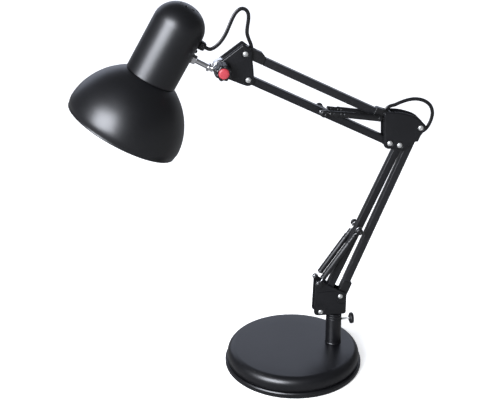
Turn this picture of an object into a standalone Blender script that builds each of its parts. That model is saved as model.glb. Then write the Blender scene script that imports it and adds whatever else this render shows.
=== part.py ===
"""Spring-balanced swing arm desk lamp: weighted base, post, two parallelogram arms, tilting head.

Metres, +Z up. The origin is the centre of the base's underside, and both arms
lie in the XZ plane (y = 0), the head towards -X. Lengths below are in mm and
are scaled once, when a mesh is made.
"""

import math

import bmesh
import bpy
from mathutils import Matrix, Vector

for old in list(bpy.data.objects):
    bpy.data.objects.remove(old, do_unlink=True)

MM = 0.001

# ---- base and post
BASE_R = 92.0  # shell
BASE_TOP = 28.0
BASE_ROUND = 11.0
RIM_PROUD = 3.0
RIM_TOP = 9.0
SHELL_WALL = 1.6
PAD_T = 1.2
WEIGHT_TOP = 16.0
POST_X = 57.0
POST_R = 10.9
POST_WALL = 2.3
POST_TOP = 72.0
THUMB_DROP = 8.5
THUMB_R = 7.9
GAP = 0.3
RUN = 0.4  # radial room of a turning fit

# ---- square tubes
TUBE = 10.0
TUBE_WALL = 1.0
FIT_W = TUBE - 0.2  # width of an end fitting

# ---- bracket plates, as distances from the arm plane
SIDE_ROOM = 1.6
SHEET = 1.8
PANEL_RISE = 0.8
PLATE_IN = TUBE / 2 + SIDE_ROOM
PLATE_OUT = PLATE_IN + SHEET
PANEL_OUT = PLATE_OUT + PANEL_RISE

# ---- screws
AXLE_R = 2.1
HOLE_R = AXLE_R + GAP
CLAMP_R = 2.5
KNOB_R = 11.3
KNOB_TIP = 30.4  # from the arm plane
RECESS_R = 5.0

# ---- springs
WIRE_R = 0.6
CORE_R = 3.3
SLEEVE_BORE = CORE_R + 0.2
SLEEVE_R = SLEEVE_BORE + WIRE_R
SPRING_Y = TUBE / 2 + SLEEVE_R + 0.5
CROSS_R = 1.7
CAP_R = 4.6


def shift(p, d):
    return (p[0] + d[0], p[1] + d[1])


# ---- pivots (x, z). P1 P2 and P3 P4 are the lower parallelogram, P6 P5 and H6 H5 the upper one
PAIR_LOW = (26.9, 22.4)
PAIR_UP = (3.3, -33.1)
LOWER = (97.9, 239.5)
UPPER = (-185.2, 92.8)
P1 = (POST_X - 20.8, POST_TOP + 9.4)
P2 = shift(P1, PAIR_LOW)
P3 = shift(P1, LOWER)
P4 = shift(P3, PAIR_LOW)
P6 = shift(P4, (-43.5, 14.1))
P5 = shift(P6, PAIR_UP)
H6 = shift(P6, UPPER)
H5 = shift(P5, UPPER)
A1 = shift(P1, (-4.2, 44.6))  # lower springs' studs
B1 = shift(P1, (48.1, 121.9))  # lower springs' cross pin
B2 = shift(P5, (-89.6, 46.6))  # upper springs' cross pin
K = shift(H6, (-29.3, -17.7))  # head tilt axis
FRONT_LINE = (shift(P1, (-2.0, 0.0)), shift(P3, (1.9, 0.8)))
REAR_LINE = (shift(P2, (0.9, -1.0)), shift(P4, (-2.5, 0.0)))

# ---- head: distances along the head's axis from the shade's mouth
MOUTH = shift(K, (-125.3, -76.1))
HEAD_TILT = math.radians(29.87)
HOUSING_R = 32.9
HOUSING_LOW = 76.9
DOME_AT = 148.7
DOME_H = 29.45
HOUSING_WALL = 1.0
SHADE_R = 75.0
SHADE_FLARE = (
    (0.961, 0.0),
    (1.0, 8.0),
    (0.983, 17.0),
    (0.921, 28.0),
    (0.817, 38.9),
    (0.660, 50.3),
    (0.456, 61.0),
    (0.204, 70.4),
    (0.007, 76.2),
)  # share of the way from the housing's wall out to SHADE_R
SHADE_PROFILE = [(HOUSING_R + (SHADE_R - HOUSING_R) * f, t) for f, t in SHADE_FLARE]
SHADE_WALL = 1.0
STEM_AT = 121.2
STEM_R = 3.2
STEM_REACH = 63.4
EYE_R = 11.0
GLAND_AT = 141.0
GLAND_PROUD = 8.1
HOLDER_R = 20.5
BULB_R = 29.5
BULB_CAP_R = 13.4
BULB_WALL = 1.0

# ---- lead: the two loops that cross the joints, as points (x, z) from H6 and from P6
LEAD_R = 2.0
HEAD_ROUTE = (
    (-42.7, 5.4),
    (-35.9, 8.4),
    (-29.1, 14.8),
    (-23.2, 23.8),
    (-18.5, 34.2),
    (-14.3, 43.6),
    (-9.5, 50.7),
    (-3.9, 54.2),
    (1.5, 52.7),
    (4.5, 47.8),
    (4.8, 40.8),
    (3.5, 31.8),
    (3.1, 24.0),
    (4.9, 17.0),
    (7.1, 11.6),
    (8.4, 6.8),
)
ELBOW_ROUTE = (
    (-0.5, 12.0),
    (3.7, 14.8),
    (9.7, 16.2),
    (16.5, 19.0),
    (26.5, 22.0),
    (37.5, 22.8),
    (48.5, 19.8),
    (56.7, 13.2),
    (60.3, 4.2),
    (59.7, -4.6),
    (56.9, -12.6),
    (53.4, -18.1),
    (49.1, -21.4),
)


# ------------------------------------------------------------------ materials
def material(name, colour, rough, metal=0.0):
    mat = bpy.data.materials.new(name)
    mat.use_nodes = True
    shader = mat.node_tree.nodes["Principled BSDF"]
    shader.inputs["Base Color"].default_value = (*colour, 1.0)
    shader.inputs["Roughness"].default_value = rough
    shader.inputs["Metallic"].default_value = metal
    mat.diffuse_color = (*colour, 1.0)
    mat.roughness = rough
    mat.metallic = metal
    return mat


PAINT = ("painted_metal", (0.030, 0.031, 0.036), 0.42, 0.0)
PLASTIC = ("matte_plastic", (0.022, 0.022, 0.025), 0.55, 0.0)
RUBBER = ("rubber", (0.030, 0.030, 0.030), 0.85, 0.0)
IRON = ("cast_iron", (0.12, 0.12, 0.125), 0.75, 0.8)
ZINC = ("brushed_steel", (0.62, 0.62, 0.60), 0.35, 1.0)
CHROME = ("chrome", (0.80, 0.80, 0.82), 0.12, 1.0)
RED = ("gloss_plastic", (0.62, 0.045, 0.065), 0.35, 0.0)
GLASS = ("glass", (0.92, 0.92, 0.90), 0.25, 0.0)
HOLDER = ("matte_plastic_holder", (0.75, 0.74, 0.70), 0.5, 0.0)


# ------------------------------------------------------------------ mesh helpers
def finish(name, mesh, look, sharp=32.0):
    """Make the object of a finished mesh: outward faces, smooth where it is round."""
    bm = bmesh.new()
    bm.from_mesh(mesh)
    bmesh.ops.remove_doubles(bm, verts=bm.verts, dist=2e-6)
    bmesh.ops.recalc_face_normals(bm, faces=bm.faces)
    bm.to_mesh(mesh)
    bm.free()
    for face in mesh.polygons:
        face.use_smooth = True
    mesh.set_sharp_from_angle(angle=math.radians(sharp))
    obj = bpy.data.objects.new(name, mesh)
    bpy.context.scene.collection.objects.link(obj)
    if look:
        kind, colour, rough, metal = look
        mesh.materials.clear()
        mesh.materials.append(material(name + "_" + kind, colour, rough, metal))
    return obj


def raw(points, faces):
    mesh = bpy.data.meshes.new("solid")
    mesh.from_pydata([(x * MM, y * MM, z * MM) for x, y, z in points], [], faces)
    return mesh


def combined(mesh, tools):
    """The mesh after its tools: (operation, tool mesh), one after the other."""
    scene = bpy.context.scene
    for operation, tool in tools:
        a = finish("work", mesh, None)
        b = finish("tool", tool, None)
        step = a.modifiers.new("step", "BOOLEAN")
        step.solver = "EXACT"
        step.operation = operation
        step.object = b
        bpy.context.view_layer.update()
        graph = bpy.context.evaluated_depsgraph_get()
        mesh = bpy.data.meshes.new_from_object(a.evaluated_get(graph))
        bpy.data.objects.remove(a, do_unlink=True)
        bpy.data.objects.remove(b, do_unlink=True)
    scene.view_layers[0].update()
    return mesh


def made(name, mesh, look, *tools, sharp=32.0):
    return finish(name, combined(mesh, tools), look, sharp)


def cut(*meshes):
    return [("DIFFERENCE", mesh) for mesh in meshes]


def add(*meshes):
    return [("UNION", mesh) for mesh in meshes]


def slab(outline, y0, y1):
    """An (x, z) outline extruded from y0 to y1."""
    n = len(outline)
    points = [(x, y0, z) for x, z in outline] + [(x, y1, z) for x, z in outline]
    faces = [list(range(n)), list(range(2 * n - 1, n - 1, -1))]
    faces += [[i, i + n, (i + 1) % n + n, (i + 1) % n] for i in range(n)]
    return raw(points, faces)


def box(x0, x1, y0, y1, z0, z1):
    return slab([(x0, z0), (x1, z0), (x1, z1), (x0, z1)], y0, y1)


def frame_of(axis):
    axis = Vector(axis).normalized()
    side = Vector((0, 1, 0)) if abs(axis.y) < 0.9 else Vector((1, 0, 0))
    e1 = axis.cross(side).normalized()
    return axis, e1, axis.cross(e1)


def lathe(profile, origin, axis, seg=24, closed=False, turn=0.0, wave=None):
    """A (radius, distance) profile turned about an axis. A radius of 0 is a pole."""
    axis, e1, e2 = frame_of(axis)
    origin = Vector(origin)
    points, rings = [], []
    for r, t in profile:
        if r < 1e-6:
            rings.append([len(points)] * seg)
            points.append(origin + axis * t)
            continue
        ring = []
        for k in range(seg):
            a = turn + 2 * math.pi * k / seg
            grow = wave(k, t) if wave else 1.0
            ring.append(len(points))
            points.append(
                origin + axis * t + (e1 * math.cos(a) + e2 * math.sin(a)) * r * grow
            )
        rings.append(ring)
    faces = []
    pairs = list(zip(rings, rings[1:]))
    if closed:
        pairs.append((rings[-1], rings[0]))
    for low, high in pairs:
        for k in range(seg):
            quad = [low[k], low[(k + 1) % seg], high[(k + 1) % seg], high[k]]
            face = [v for i, v in enumerate(quad) if v not in quad[:i]]
            if len(face) > 2:
                faces.append(face)
    return raw(points, faces)


def rod(r, y0, y1, at, seg=16):
    """A plain cylinder along Y at (x, z)."""
    return lathe([(0, y0), (r, y0), (r, y1), (0, y1)], (at[0], 0, at[1]), (0, 1, 0), seg)


def wire(path, r, sides=5):
    """A round wire along a 3-D path, with flat ends."""
    path = [Vector(p) for p in path]
    points, faces = [], []
    normal = None
    for i, p in enumerate(path):
        ahead = path[min(i + 1, len(path) - 1)] - path[max(i - 1, 0)]
        ahead.normalize()
        if normal is None:
            helper = Vector((0, 1, 0)) if abs(ahead.y) < 0.9 else Vector((1, 0, 0))
            normal = ahead.cross(helper).normalized()
        else:
            normal = (normal - ahead * normal.dot(ahead)).normalized()
        other = ahead.cross(normal)
        for k in range(sides):
            a = 2 * math.pi * k / sides
            points.append(p + (normal * math.cos(a) + other * math.sin(a)) * r)
    for i in range(len(path) - 1):
        for k in range(sides):
            j = (k + 1) % sides
            faces.append(
                [i * sides + k, i * sides + j, (i + 1) * sides + j, (i + 1) * sides + k]
            )
    last = (len(path) - 1) * sides
    faces.append(list(range(sides)))
    faces.append([last + k for k in range(sides)][::-1])
    return raw(points, faces)


def lead(name, route):
    """The lead along a smooth curve through a route of (x, z) points."""
    knots = [Vector((x, 0, z)) for x, z in route]
    knots = [knots[0] * 2 - knots[1]] + knots + [knots[-1] * 2 - knots[-2]]
    line = []
    for a, b, c, d in zip(knots, knots[1:], knots[2:], knots[3:]):
        for u in (0.0, 0.5):
            line.append(
                (b * 2 + (c - a) * u + (a * 2 - b * 5 + c * 4 - d) * u * u + (b * 3 - a - c * 3 + d) * u**3) / 2
            )
    line.append(knots[-2])
    curve = bpy.data.curves.new(name, "CURVE")
    curve.dimensions = "3D"
    curve.bevel_depth = LEAD_R * MM
    curve.bevel_resolution = 2
    curve.use_fill_caps = True
    spline = curve.splines.new("POLY")
    spline.points.add(len(line) - 1)
    for point, at in zip(spline.points, line):
        point.co = (*(at * MM), 1.0)
    obj = bpy.data.objects.new(name, curve)
    bpy.context.scene.collection.objects.link(obj)
    kind, colour, rough, metal = PLASTIC
    curve.materials.append(material(name + "_" + kind, colour, rough, metal))
    return obj


# ------------------------------------------------------------------ plane helpers
def unit(a, b):
    dx, dz = b[0] - a[0], b[1] - a[1]
    length = math.hypot(dx, dz)
    return (dx / length, dz / length), length


def local(origin, along, side=1.0):
    """A function from (s, w) to (x, z): s along, w to the left of it (side = 1)."""
    nx, nz = -along[1] * side, along[0] * side
    return lambda s, w: (
        origin[0] + s * along[0] + w * nx,
        origin[1] + s * along[1] + w * nz,
    )


def foot(p, line):
    """Distance along a line of the foot of p, and p's distance to the left of it."""
    d, _ = unit(*line)
    rx, rz = p[0] - line[0][0], p[1] - line[0][1]
    return rx * d[0] + rz * d[1], -rx * d[1] + rz * d[0]


def inset(outline, by):
    """A counter-clockwise outline moved inwards."""
    n = len(outline)
    found = []
    for i in range(n):
        a, b, c = outline[i - 1], outline[i], outline[(i + 1) % n]
        (d1x, d1z), _ = unit(a, b)
        (d2x, d2z), _ = unit(b, c)
        mx, mz = -d1z - d2z, d1x + d2x
        scale = by / max(0.35, (mx * -d1z + mz * d1x))
        found.append((b[0] + mx * scale, b[1] + mz * scale))
    return found


def arc(centre, r, a0, a1, n):
    return [
        (
            centre[0] + r * math.cos(math.radians(a0 + (a1 - a0) * i / n)),
            centre[1] + r * math.sin(math.radians(a0 + (a1 - a0) * i / n)),
        )
        for i in range(n + 1)
    ]


# ------------------------------------------------------------------ base and post
def make_base():
    rim_r = BASE_R + RIM_PROUD
    pad_r = rim_r - 1.6
    pad = lathe([(0, 0), (pad_r - 0.8, 0), (pad_r, 0.5), (pad_r, PAD_T), (0, PAD_T)], (0, 0, 0), (0, 0, 1), 40)
    made("base_pad", pad, RUBBER)
    low = PAD_T + GAP
    rim_in = BASE_R - SHELL_WALL - 0.2
    rim = lathe(
        [
            (rim_in, low),
            (rim_r - 0.8, low),
            (rim_r, low + 1.0),
            (rim_r, RIM_TOP - 1.2),
            (rim_r - 1.2, RIM_TOP),
            (rim_in, RIM_TOP),
        ],
        (0, 0, 0),
        (0, 0, 1),
        40,
        closed=True,
    )
    made("base_rim", rim, PLASTIC)

    c = BASE_R - BASE_ROUND
    zc = BASE_TOP - BASE_ROUND
    steps = 5
    outer = [
        (c + BASE_ROUND * math.cos(a), zc + BASE_ROUND * math.sin(a))
        for a in (math.pi / 2 * i / steps for i in range(steps + 1))
    ]
    inner_r = BASE_ROUND - SHELL_WALL
    inner = [
        (c + inner_r * math.cos(a), zc + inner_r * math.sin(a))
        for a in (math.pi / 2 * i / 3 for i in range(3, -1, -1))
    ]
    profile = [(BASE_R, RIM_TOP + GAP)] + outer + [(0, BASE_TOP), (0, BASE_TOP - SHELL_WALL)]
    profile += inner + [(BASE_R - SHELL_WALL, RIM_TOP + GAP)]
    shell = lathe(profile, (0, 0, 0), (0, 0, 1), 40, closed=True)
    bolt_hole = lathe(
        [(0, BASE_TOP - 8), (3.6, BASE_TOP - 8), (3.6, BASE_TOP + 12), (0, BASE_TOP + 12)], (POST_X, 0, 0), (0, 0, 1), 16
    )
    exit_z = RIM_TOP + 4.6
    outlet = lathe([(0, BASE_R - 12), (3.2, BASE_R - 12), (3.2, BASE_R + 8), (0, BASE_R + 8)], (0, 0, exit_z), (0, 1, 0), 14)
    made("base_shell", shell, PAINT, *cut(bolt_hole, outlet))

    # The cast weight lies on the pad inside the rim, with a boss that carries the cover under the post.
    top = BASE_TOP - SHELL_WALL - GAP
    weight_r = rim_in - 0.8
    weight = lathe(
        [(0, low), (weight_r - 0.8, low), (weight_r, low + 0.8), (weight_r, WEIGHT_TOP - 4.0), (weight_r - 4.0, WEIGHT_TOP), (0, WEIGHT_TOP)],
        (0, 0, 0),
        (0, 0, 1),
        28,
    )
    boss = lathe([(0, WEIGHT_TOP - 3), (15.0, WEIGHT_TOP - 3), (13.4, top), (0, top)], (POST_X, 0, 0), (0, 0, 1), 20)
    well = lathe([(0, -1), (9.0, -1), (9.0, 10.0), (3.6, 10.0), (3.6, 60), (0, 60)], (POST_X, 0, 0), (0, 0, 1), 16)
    channel = box(-5.0, 5.0, BASE_R - 32.0, BASE_R + 8.0, exit_z - 5.6, 60.0)
    made("base_weight", weight, IRON, *(add(boss) + cut(well, channel)))

    bolt_top = BASE_TOP + 9.8
    bolt = lathe(
        [(0, 4.6), (6.2, 4.6), (6.6, 5.2), (6.6, 9.2), (6.0, 9.7), (3.1, 9.7), (3.1, bolt_top - 0.8), (2.5, bolt_top), (0, bolt_top)],
        (POST_X, 0, 0),
        (0, 0, 1),
        12,
    )
    made("base_bolt", bolt, ZINC)

    wall = BASE_R - SHELL_WALL
    grommet = lathe(
        [
            (1.9, wall - 2.8),
            (4.3, wall - 2.8),
            (4.3, wall - 0.7),
            (2.9, wall - 0.5),
            (2.9, BASE_R + 0.5),
            (4.4, BASE_R + 0.7),
            (4.2, BASE_R + 2.6),
            (2.6, BASE_R + 5.5),
            (1.9, BASE_R + 5.5),
        ],
        (0, 0, exit_z),
        (0, 1, 0),
        14,
        closed=True,
    )
    made("cord_grommet", grommet, RUBBER)

    z0 = BASE_TOP + GAP
    floor = BASE_TOP + 11.5
    bore = POST_R - POST_WALL
    post = lathe(
        [
            (3.4, z0),
            (POST_R + 0.5, z0),
            (POST_R + 0.5, z0 + 1.0),
            (POST_R, z0 + 1.8),
            (POST_R, POST_TOP - 0.6),
            (POST_R - 0.6, POST_TOP),
            (bore, POST_TOP),
            (bore, floor),
            (3.4, floor),
        ],
        (POST_X, 0, 0),
        (0, 0, 1),
        24,
        closed=True,
    )
    tapped = lathe([(0, 5), (1.9, 5), (1.9, POST_R + 3), (0, POST_R + 3)], (POST_X, 0, POST_TOP - THUMB_DROP), (1, 0, 0), 14)
    made("post_tube", post, PAINT, *cut(tapped))


def make_thumb_screw():
    at = (POST_X, 0, POST_TOP - THUMB_DROP)
    tip = POST_R - POST_WALL + 0.2
    end = POST_R + 15.1
    shank = lathe(
        [(0, tip), (1.2, tip), (1.65, tip + 0.6), (1.65, end), (0, end)], at, (1, 0, 0), 14
    )
    made("thumb_shank", shank, ZINC)
    head = lathe(
        [
            (1.95, end - 4.6),
            (4.0, end - 4.6),
            (4.2, end - 4.0),
            (THUMB_R - 0.7, end - 3.3),
            (THUMB_R, end - 2.2),
            (THUMB_R, end + 0.4),
            (THUMB_R - 0.7, end + 1.6),
            (3.0, end + 2.2),
            (0, end + 2.2),
            (0, end + 0.4),
            (1.95, end + 0.4),
        ],
        at,
        (1, 0, 0),
        16,
        closed=True,
    )
    made("thumb_head", head, PLASTIC)


# ------------------------------------------------------------------ brackets
def axle(name, at, head_y=-PLATE_OUT - GAP):
    """A pan-head axle screw through both plates, with its nut on the far side."""
    h = head_y
    far = -head_y
    profile = [
        (0, h - 2.0),
        (2.1, h - 1.8),
        (3.3, h - 0.9),
        (3.5, h),
        (AXLE_R, h),
        (AXLE_R, far),
        (3.6, far),
        (3.6, far + 2.2),
        (0, far + 2.6),
    ]
    made(name, lathe(profile, (at[0], 0, at[1]), (0, 1, 0), 12), ZINC)


def plate(name, side, outline, panel, holes, recess, extra_holes=(), look=PAINT):
    """One pressed side plate: a flat sheet, a raised panel and round recesses at the screws."""
    y = [side * PLATE_IN, side * PLATE_OUT]
    body = slab(outline, min(y), max(y))
    y = [side * (PLATE_OUT - 0.6), side * PANEL_OUT]
    tools = add(slab(panel, min(y), max(y)))
    for at in recess:
        y = [side * PLATE_OUT, side * (PANEL_OUT + 2)]
        tools += cut(rod(RECESS_R, min(y), max(y), at, 14))
    for at, r in [(at, HOLE_R) for at in holes] + list(extra_holes):
        y = [side * (PLATE_IN - 2), side * (PANEL_OUT + 2)]
        tools += cut(rod(r, min(y), max(y), at, 12))
    made(name, body, look, *tools, sharp=28.0)


LOWER_OUTLINE = [shift(p, P1) for p in (
    arc((-2.8, 0.8), 6.6, 180, 270, 5)
    + arc((32.6, -2.6), 3.2, 270, 360, 3)
    + [(35.8, 23.8)]
    + arc((32.8, 24.0), 3.0, 0, 62, 3)
    + [(16.1, 36.0)]
    + arc((-4.0, 44.2), 4.0, 66, 180, 6)
)]
LOWER_PANEL = [shift(p, P1) for p in [
    (-4.0, 29.6),
    (-5.0, 12.2),
    (-3.8, 10.8),
    (3.2, 10.2),
    (5.8, 8.4),
    (7.2, 5.2),
    (7.6, 1.2),
    (8.8, -0.2),
    (10.4, -0.6),
    (32.4, 0.0),
    (33.8, 1.4),
    (33.8, 9.4),
    (32.6, 10.6),
    (26.6, 11.0),
    (24.0, 13.0),
    (22.2, 16.8),
    (20.4, 29.2),
    (18.2, 31.0),
]]


def make_lower_bracket():
    for name, side in (("lower_plate_near", -1), ("lower_plate_far", 1)):
        plate(name, side, LOWER_OUTLINE, LOWER_PANEL, (P1, P2), (P1, P2), [(A1, 2.2)])
    r = POST_R - POST_WALL - RUN
    low = BASE_TOP + 15.0
    top = POST_TOP + 3.0
    spigot = lathe(
        [
            (2.6, low),
            (r - 0.8, low),
            (r, low + 1.2),
            (r, POST_TOP + 0.2),
            (POST_R - 0.7, POST_TOP + 0.3),
            (POST_R - 0.3, POST_TOP + 0.8),
            (POST_R - 0.3, top - 0.6),
            (POST_R - 0.9, top),
            (2.6, top),
        ],
        (POST_X, 0, 0),
        (0, 0, 1),
        18,
        closed=True,
    )
    w = PLATE_IN - GAP
    tang = slab(
        [(POST_X - 6.8, top - 0.6), (POST_X + 11.0, top - 0.6), (POST_X + 11.0, top + 13.0), (POST_X - 1.0, top + 13.0), (POST_X - 6.8, top + 7.0)],
        -w,
        w,
    )
    bore = lathe([(0, low - 3), (2.6, low - 3), (2.6, top + 20), (0, top + 20)], (POST_X, 0, 0), (0, 0, 1), 14)
    made("swivel_spigot", spigot, PAINT, *(add(tang) + cut(bore)))
    axle("axle_lower_front", P1)
    axle("axle_lower_rear", P2)
    for name, side in (("spring_stud_near", -1), ("spring_stud_far", 1)):
        end = SPRING_Y + 5.8
        stud = lathe(
            [(0, PLATE_IN - 0.6), (3.2, PLATE_IN - 0.6), (3.2, PLATE_IN - 0.25), (1.95, PLATE_IN - 0.25), (1.95, end - 3.1), (3.9, end - 3.1), (3.9, end - 0.6), (3.3, end), (0, end)],
            (A1[0], 0, A1[1]),
            (0, side, 0),
            14,
        )
        made(name, stud, PLASTIC)


ELBOW_OUTLINE = [shift(p, P6) for p in (
    arc((3.3, -33.0), 8.2, 170, 285, 5)
    + arc((16.8, -37.0), 8.6, 262, 312, 3)
    + [(39.5, -31.4), (42.9, -23.0)]
    + arc((43.5, -14.1), 7.0, -38, 52, 4)
    + [(40.0, -0.8), (30.5, 3.9), (19.5, 7.4), (7.5, 9.2), (-1.5, 9.3)]
    + arc((-4.1, 6.6), 2.6, 90, 180, 3)
)]


def make_elbow():
    panel = inset(ELBOW_OUTLINE, 1.3)
    for name, side in (("elbow_plate_near", -1), ("elbow_plate_far", 1)):
        plate(name, side, ELBOW_OUTLINE, panel, (P3, P4, P5), (P3, P4, P5), [(P6, HOLE_R)])
    axle("axle_elbow_front", P3)
    axle("axle_elbow_rear", P4)
    axle("axle_elbow_bottom", P5)
    end = PANEL_OUT - 0.1
    pin = lathe(
        [(0, -end), (1.5, -end), (AXLE_R, 0.5 - end), (AXLE_R, end - 0.5), (1.5, end), (0, end)],
        (P6[0], 0, P6[1]),
        (0, 1, 0),
        18,
    )
    made("axle_elbow_top", pin, PAINT)


HEAD_OUTLINE = [shift(p, H6) for p in (
    arc((K[0] - H6[0], K[1] - H6[1]), 9.4, 118, 262, 7)
    + [(-18.9, -32.4), (-5.0, -38.6)]
    + arc((3.1, -33.1), 8.0, 250, 352, 4)
    + [(9.9, -18.2), (8.3, -4.2)]
    + arc((0.1, 0.2), 8.6, 0, 62, 4)
    + arc((-2.5, 9.0), 3.4, 60, 132, 3)
)]


def make_head_bracket():
    panel = inset(HEAD_OUTLINE, 1.3)
    for name, side in (("head_plate_near", -1), ("head_plate_far", 1)):
        plate(name, side, HEAD_OUTLINE, panel, (H6, H5), (H6, H5), [(K, 2.8)])
    axle("axle_head_top", H6)
    axle("axle_head_bottom", H5)
    at = (K[0], 0, K[1])
    nut = PANEL_OUT + GAP
    far = KNOB_TIP - 5.3
    bolt = lathe(
        [(0, nut + 4.3), (4.4, nut + 3.9), (5.6, nut + 3.1), (5.6, nut), (CLAMP_R, nut), (CLAMP_R, -far), (CLAMP_R - 0.5, -far - 0.7), (0, -far - 0.7)],
        at,
        (0, 1, 0),
        18,
    )
    made("clamp_bolt", bolt, ZINC)
    lobes = 8

    low = PANEL_OUT + 0.6

    def scallop(k, t):
        return 1.0 - 0.055 * (1 + math.cos(2 * math.pi * k * lobes / 32)) if t > low + 0.7 else 1.0

    bore = CLAMP_R + GAP
    r = KNOB_R
    knob = lathe(
        [
            (bore, low),
            (r - 2.7, low),
            (r - 1.7, low + 1.0),
            (r - 0.1, low + 2.2),
            (r, low + 5.2),
            (r - 1.3, KNOB_TIP - 6.4),
            (r - 2.1, KNOB_TIP - 1.4),
            (r - 2.9, KNOB_TIP - 0.2),
            (r - 4.0, KNOB_TIP),
            (r - 4.0, KNOB_TIP - 1.8),
            (0, KNOB_TIP - 1.8),
            (0, KNOB_TIP - 4.4),
            (bore, KNOB_TIP - 4.4),
        ],
        at,
        (0, -1, 0),
        32,
        closed=True,
        wave=scallop,
    )
    made("tilt_knob", knob, PLASTIC, sharp=40.0)
    r = KNOB_R - 5.0
    z = KNOB_TIP - 1.5
    cap = lathe([(0, z), (r, z), (r, z + 1.7), (r - 0.6, z + 2.7), (r - 2.7, z + 3.4), (0, z + 3.6)], at, (0, -1, 0), 20)
    made("knob_cap", cap, RED)


# ------------------------------------------------------------------ arms
def plain_tube(name, line, pivots, pin, pin_r=CROSS_R + GAP):
    """A square tube whose rounded ends carry their axles directly."""
    d, _ = unit(*line)
    at = local(line[0], d)
    s0, s1 = foot(pivots[0], line)[0], foot(pivots[1], line)[0]
    h = TUBE / 2
    n = 5
    ring = [at(s1 + h * math.sin(a), -h * math.cos(a)) for a in (math.pi * i / n for i in range(n + 1))]
    ring += [at(s0 - h * math.sin(a), h * math.cos(a)) for a in (math.pi * i / n for i in range(n + 1))]
    body = slab(ring, -h, h)
    b = h - TUBE_WALL
    hollow = slab([at(s0 - 20, -b), at(s1 + 20, -b), at(s1 + 20, b), at(s0 - 20, b)], -b, b)
    tools = cut(hollow)
    for p in pivots:
        tools += cut(rod(HOLE_R, -10, 10, p, 12))
    tools += cut(rod(pin_r, -10, 10, pin, 12))
    made(name, body, PAINT, *tools)


def lead_tube(name, line, s0, s1):
    """A square tube, open at both ends, that carries the lead."""
    d, _ = unit(*line)
    at = local(line[0], d)
    h = TUBE / 2
    b = h - TUBE_WALL
    body = slab([at(s0, -h), at(s1, -h), at(s1, h), at(s0, h)], -h, h)
    hollow = slab([at(s0 - 5, -b), at(s1 + 5, -b), at(s1 + 5, b), at(s0 - 5, b)], -b, b)
    made(name, body, PAINT, *cut(hollow))


def end_fitting(name, pivot, line, towards, side, reach, bump):
    """A moulded end for a lead tube: axle boss, plug into the tube and a way out for the lead."""
    d, _ = unit(*line)
    s, w = foot(pivot, line)
    origin = (line[0][0] + d[0] * s, line[0][1] + d[1] * s)
    along = (d[0] * towards, d[1] * towards)
    at = local(origin, along, side)
    wp = w * towards * side
    y = FIT_W / 2
    low = -y
    more = y - 4.9
    bump = [(s_, w_ + more) for s_, w_ in bump]
    lobe = max(5.6, wp + 4.4) + more
    outline = [(reach, low), (reach, bump[0][1])] + [(s_, w_) for s_, w_ in bump[1:]]
    outline += [(0.5, bump[-1][1]), (-2.6, bump[-1][1] - 1.4), (-4.6, lobe - 2.4), (-5.2, 1.0), (-4.4, -2.6), (-2.4, low)]
    body = slab([at(*p) for p in outline], -y, y)
    b = TUBE / 2 - TUBE_WALL - GAP
    plug = slab([at(reach - 0.5, -b), at(reach - 0.5, b), at(reach + 9, b), at(reach + 9, -b)], -b, b)
    b = LEAD_R + 0.4
    way = [(reach + 12, -b), (reach + 12, b), (15.0, b), (11.6, 5.0), (10.2, 14.0), (0.6, 14.0), (3.6, 3.6), (9.0, -b)]
    channel = slab([at(*p) for p in way], -b - 0.5, b + 0.5)
    made(name, body, PLASTIC, *(add(plug) + cut(channel, rod(HOLE_R, -10, 10, pivot, 12))))
    return at(6.2, 5.6)


UPPER_TOP = (P6, H6)
UPPER_BOTTOM = (P5, H5)
STEP = GAP


def make_lower_arm():
    plain_tube("lower_front_tube", FRONT_LINE, (P1, P3), B1)
    s2, s4 = foot(P2, REAR_LINE)[0], foot(P4, REAR_LINE)[0]
    lead_tube("lower_rear_tube", REAR_LINE, s2 + 22 + STEP, s4 - 20 - STEP)
    flat = ((22, 8.2), (20, 8.4), (2, 8.4))
    end_fitting("rear_fitting_bottom", P2, REAR_LINE, 1, -1, 22, flat)
    flat = ((20, 8.0), (18, 8.6), (2, 8.8))
    way_in = end_fitting("rear_fitting_top", P4, REAR_LINE, -1, 1, 20, flat)
    cross_pin("lower_cross_pin", B1)
    return way_in


def make_upper_arm():
    plain_tube("upper_bottom_tube", UPPER_BOTTOM, (P5, H5), B2)
    length = unit(*UPPER_TOP)[1]
    lead_tube("upper_top_tube", UPPER_TOP, 20 + STEP, length - 27 - STEP)
    at_elbow = end_fitting("top_fitting_elbow", P6, UPPER_TOP, 1, -1, 20, ((20, 6.8), (16, 7.4), (2, 9.0)))
    at_head = end_fitting("top_fitting_head", H6, UPPER_TOP, -1, 1, 27, ((27, 5.2), (20, 9.0), (2, 9.2)))
    cross_pin("upper_cross_pin", B2)
    return at_elbow, at_head


def cross_pin(name, at):
    inner, outer = SPRING_Y + 4.4, SPRING_Y + 8.2
    half = [(CROSS_R, inner), (CAP_R, inner + 0.2), (CAP_R, outer - 0.9), (CAP_R - 1.0, outer), (0, outer)]
    profile = [(r, -y) for r, y in reversed(half)] + half
    made(name, lathe(profile, (at[0], 0, at[1]), (0, 1, 0), 14), PLASTIC)


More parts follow.
